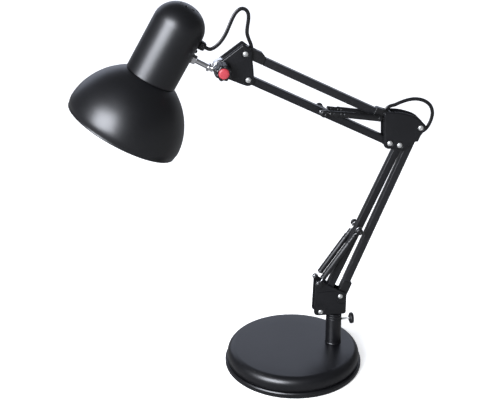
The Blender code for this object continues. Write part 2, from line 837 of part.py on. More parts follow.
# ------------------------------------------------------------------ springs
def spring_set(prefix, anchor, pin, start, end, eye_y, tip):
    """One arm's pair: a hook and sleeve on the bracket side, and a coil core whose eye holds the cross pin.

    start and end are the sleeve's ends, measured from the anchor, and tip is the core's end.
    """
    d, length = unit(anchor, pin)

    def at(s, w, y):
        return (anchor[0] + d[0] * s - d[1] * w, y, anchor[1] + d[1] * s + d[0] * w)

    for tag, side in (("near", -1), ("far", 1)):
        y = side * SPRING_Y
        o = at(0, 0, y)
        axis = (d[0], 0, d[1])
        sleeve = lathe(
            [
                (SLEEVE_BORE, start),
                (SLEEVE_R - 0.3, start),
                (SLEEVE_R, start + 0.6),
                (SLEEVE_R, end - 0.6),
                (SLEEVE_R - 0.3, end),
                (SLEEVE_BORE, end),
            ],
            o,
            axis,
            14,
            closed=True,
        )
        made(f"{prefix}_sleeve_{tag}", sleeve, PLASTIC)

        # Hook on the bracket side: a short plug of close coils, then wire into an eye round the anchor.
        ey = side * eye_y
        r = 3.15
        sweep = [
            at(r * math.cos(math.radians(a)), r * math.sin(math.radians(a)), ey)
            for a in (-35, -85, -135, 175, 125, 75, 30)
        ]
        path = sweep + [at(4.8, 0.3, ey), at(start - 2.6, 0, ey), at(start - 0.2, 0, ey + (y - ey) * 0.62), at(start + 3.0, 0, y)]
        plug = lathe([(0, start + 2.2), (CORE_R, start + 2.2), (CORE_R, start + 9), (0, start + 9)], o, axis, 10)
        made(f"{prefix}_hook_{tag}", wire(path, WIRE_R), ZINC, *add(plug))

        # Core: a rod of close coils that slides in the sleeve, then wire into an eye round the cross pin.
        sweep = [
            at(length + 4.5 * math.cos(math.radians(a)), 3.0 * math.sin(math.radians(a)), y)
            for a in (140, 90, 45, 0, -45, -90, -145)
        ]
        path = sweep + [at(length - 5.6, -0.4, y), at(tip + 1.0, 0, y), at(tip - 2.0, 0, y)]
        plug = lathe(
            [(0, start + 24), (CORE_R, start + 24), (CORE_R, tip - 1.2), (CORE_R - 1.2, tip), (0, tip)],
            o,
            axis,
            10,
        )
        made(f"{prefix}_core_{tag}", wire(path, WIRE_R), ZINC, *add(plug))


def make_springs():
    low = unit(A1, B1)[1]
    spring_set("lower_spring", A1, B1, 9.6, low - 18.0, SPRING_Y + 1.1, low - 9.0)
    up = unit(P6, B2)[1]
    spring_set("upper_spring", P6, B2, 10.6, up - 22.0, PLATE_IN - 0.85, up - 9.0)


# ------------------------------------------------------------------ head
AXIS = (math.sin(HEAD_TILT), 0.0, math.cos(HEAD_TILT))
OUT = (math.cos(HEAD_TILT), 0.0, -math.sin(HEAD_TILT))


def on_axis(t, n=0.0, y=0.0):
    return (
        MOUTH[0] + AXIS[0] * t + OUT[0] * n,
        y,
        MOUTH[1] + AXIS[2] * t + OUT[2] * n,
    )


def make_head():
    o = on_axis(0)
    # Shade: one spun wall with a rolled lip, and a neck that goes up inside the housing.
    outer = [(SHADE_R - 0.4, -0.8), (SHADE_R - 0.6, 0.9)] + list(SHADE_PROFILE[1:])
    neck = HOUSING_R - HOUSING_WALL - GAP
    z = HOUSING_LOW
    up = [(neck - 0.1, z - 0.5), (neck, z + 6.1), (neck - SHADE_WALL, z + 6.1), (neck - SHADE_WALL, z - 1.3)]
    inner = [(r - SHADE_WALL * 1.05, t - (0.5 if t > 40 else 0.0)) for r, t in SHADE_PROFILE[-2:0:-1]]
    lip = [(SHADE_R - 2.4, 0.8), (SHADE_R - 1.8, -1.1)]
    shade = lathe(outer + up + inner + lip, o, AXIS, 34, closed=True)
    made("lamp_shade", shade, PAINT, sharp=35.0)

    dome = [
        (HOUSING_R * math.cos(a), DOME_AT + DOME_H * math.sin(a))
        for a in (math.pi / 2 * i / 6 for i in range(7))
    ]
    dome[-1] = (0, DOME_AT + DOME_H)
    w = HOUSING_WALL
    inside = [
        ((HOUSING_R - w) * math.cos(a), DOME_AT + (DOME_H - w) * math.sin(a))
        for a in (math.pi / 2 * i / 4 for i in range(4, -1, -1))
    ]
    inside[0] = (0, DOME_AT + DOME_H - w)
    profile = [(HOUSING_R, HOUSING_LOW)] + dome + inside + [(HOUSING_R - w, HOUSING_LOW)]
    housing = lathe(profile, o, AXIS, 30, closed=True)
    tools = []
    r = HOUSING_R
    pip = lathe([(0, r - 1.0), (2.3, r - 1.0), (2.3, r + 1.5), (1.6, r + 2.3), (0, r + 2.3)], on_axis(STEM_AT + 10.0), OUT, 10)
    tools += add(pip)
    tools += cut(lathe([(0, r - 13), (STEM_R + RUN, r - 13), (STEM_R + RUN, r + 12), (0, r + 12)], on_axis(STEM_AT), OUT, 16))
    tools += cut(lathe([(0, r - 13), (3.6, r - 13), (3.6, r + 12), (0, r + 12)], on_axis(GLAND_AT), OUT, 14))
    for k in range(8):
        a = math.radians(22.5 + 45 * k)
        n, y = 11.5 * math.cos(a), 11.5 * math.sin(a)
        z = DOME_AT + DOME_H
        tools += cut(lathe([(0, z - 13), (1.9, z - 13), (1.9, z + 7), (0, z + 7)], on_axis(0, n, y), AXIS, 8))
    made("socket_housing", housing, PAINT, *tools, sharp=35.0)

    gland = lathe(
        [
            (1.6, r - 4.9),
            (5.0, r - 4.9),
            (5.0, r - 2.0),
            (3.3, r - 1.7),
            (3.3, r + 0.3),
            (6.0, r + 0.7),
            (6.0, r + 3.7),
            (4.6, r + 4.3),
            (4.2, r + GLAND_PROUD),
            (1.6, r + GLAND_PROUD),
        ],
        on_axis(GLAND_AT),
        OUT,
        14,
        closed=True,
    )
    made("lead_gland", gland, PLASTIC)

    z = DOME_AT + DOME_H - 4.15
    w = BULB_CAP_R + 0.8
    h = HOLDER_R
    holder = lathe(
        [
            (0, z),
            (5.0, z),
            (5.0, z - 24.0),
            (12.0, z - 27.0),
            (h - 3.0, z - 34.0),
            (h - 2.5, z - 46.0),
            (h, z - 48.0),
            (h, z - 74.0),
            (w, z - 74.0),
            (w, z - 40.0),
            (0, z - 40.0),
        ],
        o,
        AXIS,
        20,
        closed=False,
    )
    made("lampholder", holder, HOLDER)

    # Bulb: a thin glass envelope and cap, open at the contact, so its weight is a real bulb's.
    z -= 43.5
    b, c, w = BULB_R, BULB_CAP_R, BULB_WALL
    outer = [
        (0, z - 109.5),
        (b * 0.34, z - 107.7),
        (b * 0.66, z - 102.0),
        (b * 0.9, z - 93.0),
        (b, z - 81.5),
        (b * 0.963, z - 69.5),
        (b * 0.8, z - 57.5),
        (b * 0.59, z - 46.5),
        (c + 1.8, z - 38.5),
        (c + 1.2, z - 33.5),
        (c, z - 31.5),
        (c, z - 5.5),
        (9.0, z - 1.5),
        (5.0, z),
        (1.5, z),
    ]
    inner = [(1.5, z - 1.4), (c - w, z - 7.0), (c - w, z - 38.5)]
    inner += [(r_ - w, t) for r_, t in reversed(outer[1:8])] + [(0, z - 109.5 + w)]
    bulb = lathe(outer + inner, o, AXIS, 20, closed=True)
    made("bulb", bulb, GLASS)

    # Tilt eye: a thick washer between the head plates, with the chrome stem out of its side.
    at = (K[0], 0, K[1])
    w = PLATE_IN - 0.5
    eye = lathe(
        [(CLAMP_R + GAP, -w), (EYE_R - 1.0, -w), (EYE_R, 1.0 - w), (EYE_R, w - 1.0), (EYE_R - 1.0, w), (CLAMP_R + GAP, w)],
        at,
        (0, 1, 0),
        22,
        closed=True,
    )
    base = on_axis(STEM_AT)
    e = STEM_REACH
    stem = lathe(
        [
            (0, r - 5.9),
            (STEM_R - 0.6, r - 5.9),
            (STEM_R, r - 5.3),
            (STEM_R, e - 7.8),
            (STEM_R + 2.2, e - 7.5),
            (STEM_R + 2.2, e - 5.2),
            (STEM_R + 0.4, e - 4.8),
            (STEM_R + 0.4, e),
            (0, e),
        ],
        base,
        OUT,
        14,
    )
    made("tilt_eye_stem", eye, CHROME, *add(stem))

    b, z = STEM_R + GAP, r + 0.4
    nut = lathe(
        [(b, z), (b + 3.1, z), (b + 3.1, z + 1.1), (b + 2.2, z + 1.4), (b + 2.4, z + 4.9), (b + 1.7, z + 5.5), (b, z + 5.5)],
        base,
        OUT,
        12,
        closed=True,
    )
    made("stem_nut", nut, CHROME)


make_base()
make_thumb_screw()
make_lower_bracket()
lower_way = make_lower_arm()
make_elbow()
elbow_way, head_way = make_upper_arm()
make_springs()
make_head_bracket()
make_head()
gland_way = on_axis(GLAND_AT, HOUSING_R + GLAND_PROUD + GAP)
lead("head_lead", [(gland_way[0], gland_way[2])] + [shift(p, H6) for p in HEAD_ROUTE] + [head_way])
lead("elbow_lead", [elbow_way] + [shift(p, P6) for p in ELBOW_ROUTE] + [lower_way])
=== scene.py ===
"""Swing arm desk lamp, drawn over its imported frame: camera, leads, turned, pressed and moulded pieces, light.

Lengths are in millimetres in the helpers and are scaled once, when a mesh is made.
Both arms lie in the XZ plane, so most shapes are (x, z) outlines extruded along Y, or turned about an axis.
"""

import math

import bmesh
import bpy
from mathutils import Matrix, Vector


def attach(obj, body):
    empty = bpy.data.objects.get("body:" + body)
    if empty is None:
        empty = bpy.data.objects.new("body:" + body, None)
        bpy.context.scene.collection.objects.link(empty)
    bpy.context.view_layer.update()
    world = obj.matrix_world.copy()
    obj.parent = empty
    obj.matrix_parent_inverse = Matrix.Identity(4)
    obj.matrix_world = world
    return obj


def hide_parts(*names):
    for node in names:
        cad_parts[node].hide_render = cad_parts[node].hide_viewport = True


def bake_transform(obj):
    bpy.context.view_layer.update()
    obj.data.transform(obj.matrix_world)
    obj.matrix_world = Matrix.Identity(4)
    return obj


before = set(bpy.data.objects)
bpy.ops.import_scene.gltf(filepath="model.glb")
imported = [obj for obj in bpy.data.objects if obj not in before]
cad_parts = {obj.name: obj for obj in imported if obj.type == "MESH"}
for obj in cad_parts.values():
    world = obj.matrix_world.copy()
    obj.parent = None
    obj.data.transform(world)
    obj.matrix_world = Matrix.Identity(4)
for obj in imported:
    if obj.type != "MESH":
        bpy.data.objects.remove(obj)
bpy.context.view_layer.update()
MM = 0.001

# ------------------------------------------------------------------ camera, fitted to the photograph
CAMERA_AT, CAMERA_AIM, CAMERA_LENS = (-0.2346, -1.2178, 0.7820), (-0.0610, 0.0, 0.2517), 73.7
camera = bpy.data.objects.new("camera", bpy.data.cameras.new("camera"))
bpy.context.scene.collection.objects.link(camera)
camera.data.sensor_width = 36.0
camera.data.lens = CAMERA_LENS
camera.location = CAMERA_AT
camera.rotation_euler = (Vector(CAMERA_AIM) - camera.location).to_track_quat("-Z", "Y").to_euler()
camera.data.clip_end = 30.0
bpy.context.scene.camera = camera

# ------------------------------------------------------------------ sizes shared with the frame
Z_AXIS, X_AXIS, Y_AXIS = (0, 0, 1), (1, 0, 0), (0, 1, 0)
SIDES = (("near", -1), ("far", 1))

# base, post and thumb screw
SEAT_Z, COVER_TOP, OUTLET_Z = 1.5, 28.0, 13.6
POST_X, THUMB_Z = 57.0, 63.5

# pivots, as (x, z): P and H turn the arms, A and B hold the springs, K is the clamp of the head
PAIR_LOW, PAIR_UP, UPPER = (26.9, 22.4), (3.3, -33.1), (-185.2, 92.8)
P1 = (36.2, 81.4)
P2 = (P1[0] + PAIR_LOW[0], P1[1] + PAIR_LOW[1])
P3 = (134.1, 320.9)
P4 = (P3[0] + PAIR_LOW[0], P3[1] + PAIR_LOW[1])
P6 = (117.5, 357.4)
P5 = (P6[0] + PAIR_UP[0], P6[1] + PAIR_UP[1])
H6 = (P6[0] + UPPER[0], P6[1] + UPPER[1])
H5 = (P5[0] + UPPER[0], P5[1] + UPPER[1])
A1, B1, B2, K = (32.0, 126.0), (84.3, 203.3), (31.2, 370.9), (-97.0, 432.5)

# tubes: centre lines that don't run pivot to pivot, half the width, and the wall
FRONT_LINE = ((34.2, 81.4), (136.0, 321.7))
REAR_LINE = ((64.0, 102.8), (158.5, 343.3))
TUBE_HALF, TUBE_WALL = 5.0, 1.0

# plates: inner and outer face and face of the raised panel, and radii of the holes
PLATE_IN, PLATE_OUT, PANEL_OUT = 6.6, 8.4, 9.2
SCREW_HOLE, STUD_HOLE, PIN_HOLE, CLAMP_HOLE = 2.4, 2.2, 2.0, 2.8

# springs: distance from the middle of the lamp, and radius of the wire
SPRING_Y, WIRE_R = 9.6, 0.6

# head: its axis goes from the middle of the shade's mouth up through the housing
MOUTH, HEAD_TILT = (-222.3, 356.4), math.radians(29.87)
AXIS = (math.sin(HEAD_TILT), 0.0, math.cos(HEAD_TILT))
OUT = (math.cos(HEAD_TILT), 0.0, -math.sin(HEAD_TILT))
HOUSING_R, HOUSING_WALL, HOUSING_LOW, DOME_AT, DOME_H = 32.9, 1.0, 76.9, 148.7, 29.45
STEM_AT, GLAND_AT, SIDE_HOLE = 121.2, 141.0, 3.6
VENTS, VENT_RING, VENT_R = 8, 11.5, 1.9


# ------------------------------------------------------------------ materials
def nodes_of(name, colour, rough, metal=0.0, coat=0.0, spec=0.5):
    """A plain material, with its node tree and its shader."""
    mat = bpy.data.materials.new(name)
    mat.use_nodes = True
    tree = mat.node_tree
    shader = tree.nodes["Principled BSDF"]
    shader.inputs["Base Color"].default_value = (*colour, 1)
    shader.inputs["Roughness"].default_value = rough
    shader.inputs["Metallic"].default_value = metal
    shader.inputs["Coat Weight"].default_value = coat
    shader.inputs["Coat Roughness"].default_value = 0.18
    shader.inputs["Specular IOR Level"].default_value = spec
    shader.inputs["IOR"].default_value = 1.5
    return mat, tree, shader


def surface(
    name, colour, rough, metal=0.0, coat=0.0, spec=0.5, grain=900.0, bump=0.02, spread=0.05,
    tint=0.12, wear=0.0, worn=(0.3, 0.3, 0.3),
):
    """Fine grain in the bump, cloudy variation in colour and roughness, and worn edges where wear is set."""
    mat, tree, shader = nodes_of(name, colour, rough, metal, coat, spec)
    link = tree.links.new

    def node(kind, **values):
        found = tree.nodes.new(kind)
        for key, value in values.items():
            found.inputs[key.replace("_", " ")].default_value = value
        return found

    def product(a, b):
        found = tree.nodes.new("ShaderNodeMath")
        found.operation = "MULTIPLY"
        link(a, found.inputs[0])
        if isinstance(b, float):
            found.inputs[1].default_value = b
        else:
            link(b, found.inputs[1])
        return found.outputs[0]

    where = node("ShaderNodeTexCoord")
    fine = node("ShaderNodeTexNoise", Scale=grain, Detail=3.0)
    slow = node("ShaderNodeTexNoise", Scale=22.0, Detail=4.0)
    for noise in (fine, slow):
        link(where.outputs["Object"], noise.inputs["Vector"])
    lift = node("ShaderNodeBump", Strength=1.0, Distance=bump * MM)
    link(fine.outputs["Fac"], lift.inputs["Height"])
    link(lift.outputs["Normal"], shader.inputs["Normal"])

    both = tree.nodes.new("ShaderNodeMath")
    both.operation = "MULTIPLY_ADD"
    both.inputs[1].default_value = 0.5
    link(fine.outputs["Fac"], both.inputs[0])
    link(product(slow.outputs["Fac"], 0.5), both.inputs[2])
    low, high = max(0.02, rough - spread), min(1.0, rough + spread)
    span = node("ShaderNodeMapRange", From_Min=0.3, From_Max=0.7, To_Min=low, To_Max=high)
    link(both.outputs[0], span.inputs["Value"])
    link(span.outputs["Result"], shader.inputs["Roughness"])

    ramp = tree.nodes.new("ShaderNodeValToRGB")
    first, second = ramp.color_ramp.elements
    first.position, second.position = 0.3, 0.72
    first.color = (*(c * (1 - tint) for c in colour), 1)
    second.color = (*(min(1.0, c * (1 + tint)) for c in colour), 1)
    link(slow.outputs["Fac"], ramp.inputs["Fac"])
    last = ramp.outputs["Color"]
    if wear:
        bend = tree.nodes.new("ShaderNodeNewGeometry")
        edge = node("ShaderNodeMapRange", From_Min=0.53, From_Max=0.62, To_Max=wear)
        link(bend.outputs["Pointiness"], edge.inputs["Value"])
        mix = tree.nodes.new("ShaderNodeMix")
        mix.data_type = "RGBA"
        link(product(edge.outputs["Result"], fine.outputs["Fac"]), mix.inputs["Factor"])
        link(last, mix.inputs["A"])
        mix.inputs["B"].default_value = (*worn, 1)
        last = mix.outputs["Result"]
    link(last, shader.inputs["Base Color"])
    return mat


BLACK = (0.0045, 0.0045, 0.0050)
PAINT = surface(
    "black_satin_paint", (0.0034, 0.0035, 0.0044), 0.35,
    spec=0.52, grain=1400, bump=0.010, spread=0.035, wear=0.06, worn=(0.10, 0.10, 0.11),
)
HEAD_PAINT = surface(
    "black_satin_paint_head", (0.0032, 0.0033, 0.0040), 0.37, spec=0.55, grain=1500, bump=0.007, spread=0.03
)
WHITE = surface("white_enamel", (0.80, 0.80, 0.78), 0.38, grain=1200, bump=0.008, tint=0.03)
PLASTIC = surface("black_moulded_plastic", BLACK, 0.38, grain=2600, bump=0.022)
SLEEVE = surface("black_sleeve", BLACK, 0.40, bump=0.012, spread=0.04)
SHEATH = surface("black_lead_sheath", BLACK, 0.30, grain=1100, bump=0.010)
RUBBER = surface("black_rubber", (0.020, 0.020, 0.020), 0.75, grain=1500, bump=0.05, spread=0.08)
FOAM = surface("foam_pad", (0.022, 0.022, 0.023), 0.9, grain=2200, bump=0.10, spread=0.06, tint=0.3)
IRON = surface(
    "cast_iron", (0.085, 0.083, 0.080), 0.68, metal=0.7, grain=700, bump=0.12, spread=0.12, tint=0.3
)
ZINC = surface(
    "zinc_plate", (0.64, 0.64, 0.62), 0.48, metal=0.9, grain=1300, bump=0.010, spread=0.09, tint=0.08
)
WIRE = surface("spring_wire", (0.42, 0.42, 0.42), 0.32, metal=1.0, grain=1500, bump=0.010, spread=0.08)
CHROME = surface(
    "chrome_plate", (0.82, 0.82, 0.83), 0.24, metal=1.0, grain=700, bump=0.003, spread=0.04, tint=0.03
)
RED = surface("coral_cap", (0.31, 0.026, 0.036), 0.42, grain=2400, bump=0.012, tint=0.06)
HOLDER = surface("ivory_holder", (0.72, 0.70, 0.63), 0.34, grain=800, bump=0.006, spread=0.06, tint=0.04)
BRASS = surface("cap_contact", (0.62, 0.60, 0.55), 0.26, metal=1.0, bump=0.008, spread=0.08)
GLASS = surface(
    "frosted_glass", (0.90, 0.90, 0.88), 0.42, coat=0.35, grain=1800, bump=0.010, spread=0.04, tint=0.02
)


# ------------------------------------------------------------------ mesh helpers
NEARLY_STRAIGHT = math.radians(165)


def object_of(name, bm, mat, sharp=35.0):
    """An object from a bmesh, smooth but for edges sharper than the angle."""
    bmesh.ops.remove_doubles(bm, verts=bm.verts, dist=1e-6)
    bmesh.ops.recalc_face_normals(bm, faces=bm.faces)
    mesh = bpy.data.meshes.new(name)
    bm.to_mesh(mesh)
    bm.free()
    for face in mesh.polygons:
        face.use_smooth = True
    mesh.set_sharp_from_angle(angle=math.radians(sharp))
    obj = bpy.data.objects.new(name, mesh)
    bpy.context.scene.collection.objects.link(obj)
    if mat:
        mesh.materials.append(mat)
    return obj


def grid(points, faces):
    """A bmesh from points in millimetres and faces of their numbers."""
    bm = bmesh.new()
    verts = [bm.verts.new([c * MM for c in p]) for p in points]
    for face in faces:
        bm.faces.new([verts[i] for i in face])
    return bm


def rounded(profile, r, steps=3, closed=False):
    """The corners of an open or closed polyline replaced by small arcs."""
    n = len(profile)
    found = []
    for i, b in enumerate(profile):
        if not closed and i in (0, n - 1):
            found.append(b)
            continue
        a, c = profile[i - 1], profile[(i + 1) % n]
        u, v = (a[0] - b[0], a[1] - b[1]), (c[0] - b[0], c[1] - b[1])
        lu, lv = math.hypot(*u), math.hypot(*v)
        if lu < 1e-9 or lv < 1e-9:
            continue
        u, v = (u[0] / lu, u[1] / lu), (v[0] / lv, v[1] / lv)
        turn = math.acos(max(-1.0, min(1.0, u[0] * v[0] + u[1] * v[1])))
        if turn > NEARLY_STRAIGHT:
            found.append(b)
            continue
        back = min(r / math.tan(turn / 2), 0.45 * lu, 0.45 * lv)
        p, q = [(b[0] + d[0] * back, b[1] + d[1] * back) for d in (u, v)]
        for k in range(steps + 1):
            t = k / steps
            wp, wb, wq = (1 - t) ** 2, 2 * t * (1 - t), t * t
            found.append((wp * p[0] + wb * b[0] + wq * q[0], wp * p[1] + wb * b[1] + wq * q[1]))
    return found


def axes_of(axis):
    """A direction as a unit vector, and two unit vectors square to it and to each other."""
    axis = Vector(axis).normalized()
    side = Vector((0, 1, 0)) if abs(axis.y) < 0.9 else Vector((1, 0, 0))
    e1 = axis.cross(side).normalized()
    return axis, e1, axis.cross(e1)


def turned(name, profile, origin, axis, mat, seg=96, closed=False, r=0.35, wave=None, sharp=35.0, steps=3):
    """A (radius, distance) profile with eased corners, turned about an axis."""
    profile = rounded(profile, r, steps, closed) if r else profile
    axis, e1, e2 = axes_of(axis)
    origin = Vector(origin)
    points, rings = [], []
    for radius, t in profile:
        if radius < 1e-6:
            rings.append([len(points)] * seg)
            points.append(origin + axis * t)
            continue
        ring = []
        for k in range(seg):
            a = 2 * math.pi * k / seg
            grow = wave(a, t) if wave else 1.0
            ring.append(len(points))
            points.append(origin + axis * t + (e1 * math.cos(a) + e2 * math.sin(a)) * radius * grow)
        rings.append(ring)
    faces = []
    pairs = list(zip(rings, rings[1:]))
    if closed:
        pairs.append((rings[-1], rings[0]))
    for low, high in pairs:
        for k in range(seg):
            quad = [low[k], low[(k + 1) % seg], high[(k + 1) % seg], high[k]]
            face = [v for i, v in enumerate(quad) if v not in quad[:i]]
            if len(face) > 2:
                faces.append(face)
    return object_of(name, grid(points, faces), mat, sharp)


def slab(name, outline, y0, y1, mat=None, bevel=0.0, segments=3, limit=40.0):
    """An (x, z) outline extruded along Y, its edges eased by a bevel."""
    n = len(outline)
    points = [(x, y0, z) for x, z in outline] + [(x, y1, z) for x, z in outline]
    faces = [list(range(n)), list(range(2 * n - 1, n - 1, -1))]
    faces += [[i, i + n, (i + 1) % n + n, (i + 1) % n] for i in range(n)]
    obj = object_of(name, grid(points, faces), mat, 30.0)
    if bevel:
        step = obj.modifiers.new("ease", "BEVEL")
        step.width = bevel * MM
        step.segments = segments
        step.limit_method = "ANGLE"
        step.angle_limit = math.radians(limit)
        apply_modifiers(obj)
    return obj


def apply_modifiers(obj):
    bpy.context.view_layer.update()
    graph = bpy.context.evaluated_depsgraph_get()
    mesh = bpy.data.meshes.new_from_object(obj.evaluated_get(graph))
    old = obj.data
    obj.modifiers.clear()
    obj.data = mesh
    bpy.data.meshes.remove(old)
    mesh.name = obj.name


def boolean(obj, operation, *tools):
    """The object after each tool in turn, and the tools are used up."""
    for tool in tools:
        step = obj.modifiers.new("step", "BOOLEAN")
        step.solver = "EXACT"
        step.operation = operation
        step.object = tool
        apply_modifiers(obj)
        bpy.data.objects.remove(tool, do_unlink=True)
    return obj


def cut(obj, *tools):
    return boolean(obj, "DIFFERENCE", *tools)


def add(obj, *tools):
    return boolean(obj, "UNION", *tools)


def join(obj, other):
    """The mesh of the other put into obj as it is, with its material."""
    mat = other.data.materials[0]
    names = [m.name for m in obj.data.materials]
    if mat.name not in names:
        obj.data.materials.append(mat)
        names.append(mat.name)
    bm = bmesh.new()
    bm.from_mesh(obj.data)
    start = len(bm.faces)
    bm.from_mesh(other.data)
    bm.faces.ensure_lookup_table()
    for face in bm.faces[start:]:
        face.material_index = names.index(mat.name)
    bpy.data.objects.remove(other, do_unlink=True)
    bm.to_mesh(obj.data)
    bm.free()


def shade(obj, sharp=35.0):
    """Smooth shading again after a boolean, but for edges sharper than the angle."""
    for face in obj.data.polygons:
        face.use_smooth = True
    obj.data.set_sharp_from_angle(angle=math.radians(sharp))
    return obj


def spot(at):
    """An (x, z) point as a place in the middle plane of the lamp."""
    return (at[0], 0, at[1])


def drill(r, t0, t1, origin, axis, seg=32):
    """A cylinder to cut with, from t0 to t1 along an axis."""
    return turned("tool", [(0, t0), (r, t0), (r, t1), (0, t1)], origin, axis, None, seg, r=0)


def pivot_hole(r, at):
    """A cutter that goes right through a tube or fitting, along Y."""
    return drill(r, -10, 10, spot(at), Y_AXIS, 48)


def unit(a, b):
    """The direction from one (x, z) point to another, and the distance."""
    dx, dz = b[0] - a[0], b[1] - a[1]
    length = math.hypot(dx, dz)
    return (dx / length, dz / length), length


def local(origin, along, side=1.0):
    """A function from (distance along a line, distance beside it) to an (x, z) point."""
    nx, nz = -along[1] * side, along[0] * side
    return lambda s, w: (origin[0] + s * along[0] + w * nx, origin[1] + s * along[1] + w * nz)


def foot(p, line):
    """How far a point is along a line, and how far beside it."""
    d, _ = unit(*line)
    rx, rz = p[0] - line[0][0], p[1] - line[0][1]
    return rx * d[0] + rz * d[1], -rx * d[1] + rz * d[0]


def inset(outline, by):
    """A closed outline moved inwards."""
    n = len(outline)
    found = []
    for i in range(n):
        a, b, c = outline[i - 1], outline[i], outline[(i + 1) % n]
        (d1x, d1z), _ = unit(a, b)
        (d2x, d2z), _ = unit(b, c)
        mx, mz = -d1z - d2z, d1x + d2x
        scale = by / max(0.35, (mx * -d1z + mz * d1x))
        found.append((b[0] + mx * scale, b[1] + mz * scale))
    return found


def arc(centre, r, a0, a1, n):
    """Points on a circle, from one angle to another in degrees."""
    angles = [math.radians(a0 + (a1 - a0) * i / n) for i in range(n + 1)]
    return [(centre[0] + r * math.cos(a), centre[1] + r * math.sin(a)) for a in angles]


def on_axis(t, n=0.0, y=0.0):
    """A place on the head: up its axis from the mouth, out from the axis, and across."""
    return (MOUTH[0] + AXIS[0] * t + OUT[0] * n, y, MOUTH[1] + AXIS[2] * t + OUT[2] * n)


def catmull(points, per):
    """Points of a smooth curve through the given ones."""
    knots = [Vector(p) for p in points]
    knots = [knots[0] * 2 - knots[1]] + knots + [knots[-1] * 2 - knots[-2]]
    line = []
    for a, b, c, d in zip(knots, knots[1:], knots[2:], knots[3:]):
        straight, second, third = c - a, a * 2 - b * 5 + c * 4 - d, b * 3 - a - c * 3 + d
        for i in range(per):
            u = i / per
            line.append((b * 2 + straight * u + second * u * u + third * u**3) / 2)
    line.append(knots[-2])
    return line


def tube(name, line, section, mat):
    """A closed section of (across, sideways) points swept along a line, with flat ends."""
    points, faces = [], []
    normal = None
    n = len(section)
    for i, p in enumerate(line):
        ahead = line[min(i + 1, len(line) - 1)] - line[max(i - 1, 0)]
        ahead.normalize()
        if normal is None:
            helper = Vector((0, 1, 0)) if abs(ahead.y) < 0.9 else Vector((1, 0, 0))
            normal = ahead.cross(helper).normalized()
        else:
            normal = (normal - ahead * normal.dot(ahead)).normalized()
        other = ahead.cross(normal)
        points += [p + normal * a + other * b for a, b in section]
    for i in range(len(line) - 1):
        for k in range(n):
            j = (k + 1) % n
            faces.append([i * n + k, i * n + j, (i + 1) * n + j, (i + 1) * n + k])
    last = (len(line) - 1) * n
    faces.append(list(range(n)))
    faces.append([last + k for k in range(n)][::-1])
    return object_of(name, grid(points, faces), mat, 60.0)


def circle(r, n):
    angles = [2 * math.pi * k / n for k in range(n)]
    return [(r * math.cos(a), r * math.sin(a)) for a in angles]


def place(obj, body, node):
    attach(obj, body)
    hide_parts(node)


# ------------------------------------------------------------------ leads: two loops that cross the joints
TWIN_ACROSS, TWIN_THICK, LEAD_STEPS = 4.6, 3.0, 8


def twin_section():
    """Flat twin lead: two cores side by side under one sheath, with a groove between them."""
    found = []
    for c, s in circle(1.0, 28):
        across = TWIN_ACROSS / 2 * math.copysign(abs(c) ** 0.8, c)
        waist = 1.0 - 0.2 * max(0.0, 1 - (across / 0.8) ** 2)
        found.append((across, TWIN_THICK / 2 * math.copysign(abs(s) ** 0.7, s) * waist))
    return found


HEAD_ROUTE = [
    (-116.1, 457.9), (-110.4, 455.6), (-103.6, 458.6), (-96.8, 465.0), (-90.9, 474.0), (-86.2, 484.4),
    (-82.0, 493.8), (-77.2, 500.9), (-71.6, 504.4), (-66.2, 502.9), (-63.2, 498.0), (-62.9, 491.0),
    (-64.2, 482.0), (-64.6, 474.2), (-62.8, 467.2), (-60.6, 461.8), (-59.3, 457.0), (-59.6, 452.6),
]
ELBOW_ROUTE = [
    (114.6, 365.4), (117.0, 369.4), (121.2, 372.2), (127.2, 373.6), (134.0, 376.4), (144.0, 379.4),
    (155.0, 380.2), (166.0, 377.2), (174.2, 370.6), (177.8, 361.6), (177.2, 352.8), (174.4, 344.8),
    (170.9, 339.3), (166.6, 336.0), (161.8, 336.2),
]


def lead_piece(name, node, first, last, body_a, body_b, start, end):
    """A stretch of a lead's route, swept as a flat twin lead where it lies, with the lead from the frame
    hidden.
    """
    route = HEAD_ROUTE if node == "head_lead" else ELBOW_ROUTE
    line = catmull([spot(p) for p in route], LEAD_STEPS)[first * LEAD_STEPS : last * LEAD_STEPS + 1]
    obj = tube(name, line, twin_section(), SHEATH)
    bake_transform(obj)
    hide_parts(node)


for lead_facts in (
    ("head_lead_gland_side", "head_lead", 0, 4, "head", "head_knuckle", (-113, 0, 456), (-92, 0, 473)),
    ("head_lead_middle", "head_lead", 4, 8, "head_knuckle", "head_bracket", (-90.9, 0, 474), (-72, 0, 504)),
    ("head_lead_arm_side", "head_lead", 8, 17, "head_bracket", "upper_top_rod", (-66, 0, 502), (-60, 0, 458)),
    ("elbow_lead_upper", "elbow_lead", 0, 6, "upper_top_rod", "elbow", (117, 0, 370), (154, 0, 379)),
    ("elbow_lead_lower", "elbow_lead", 6, 14, "elbow", "lower_rear_rod", (172, 0, 378), (166, 0, 337)),
):
    lead_piece(*lead_facts)


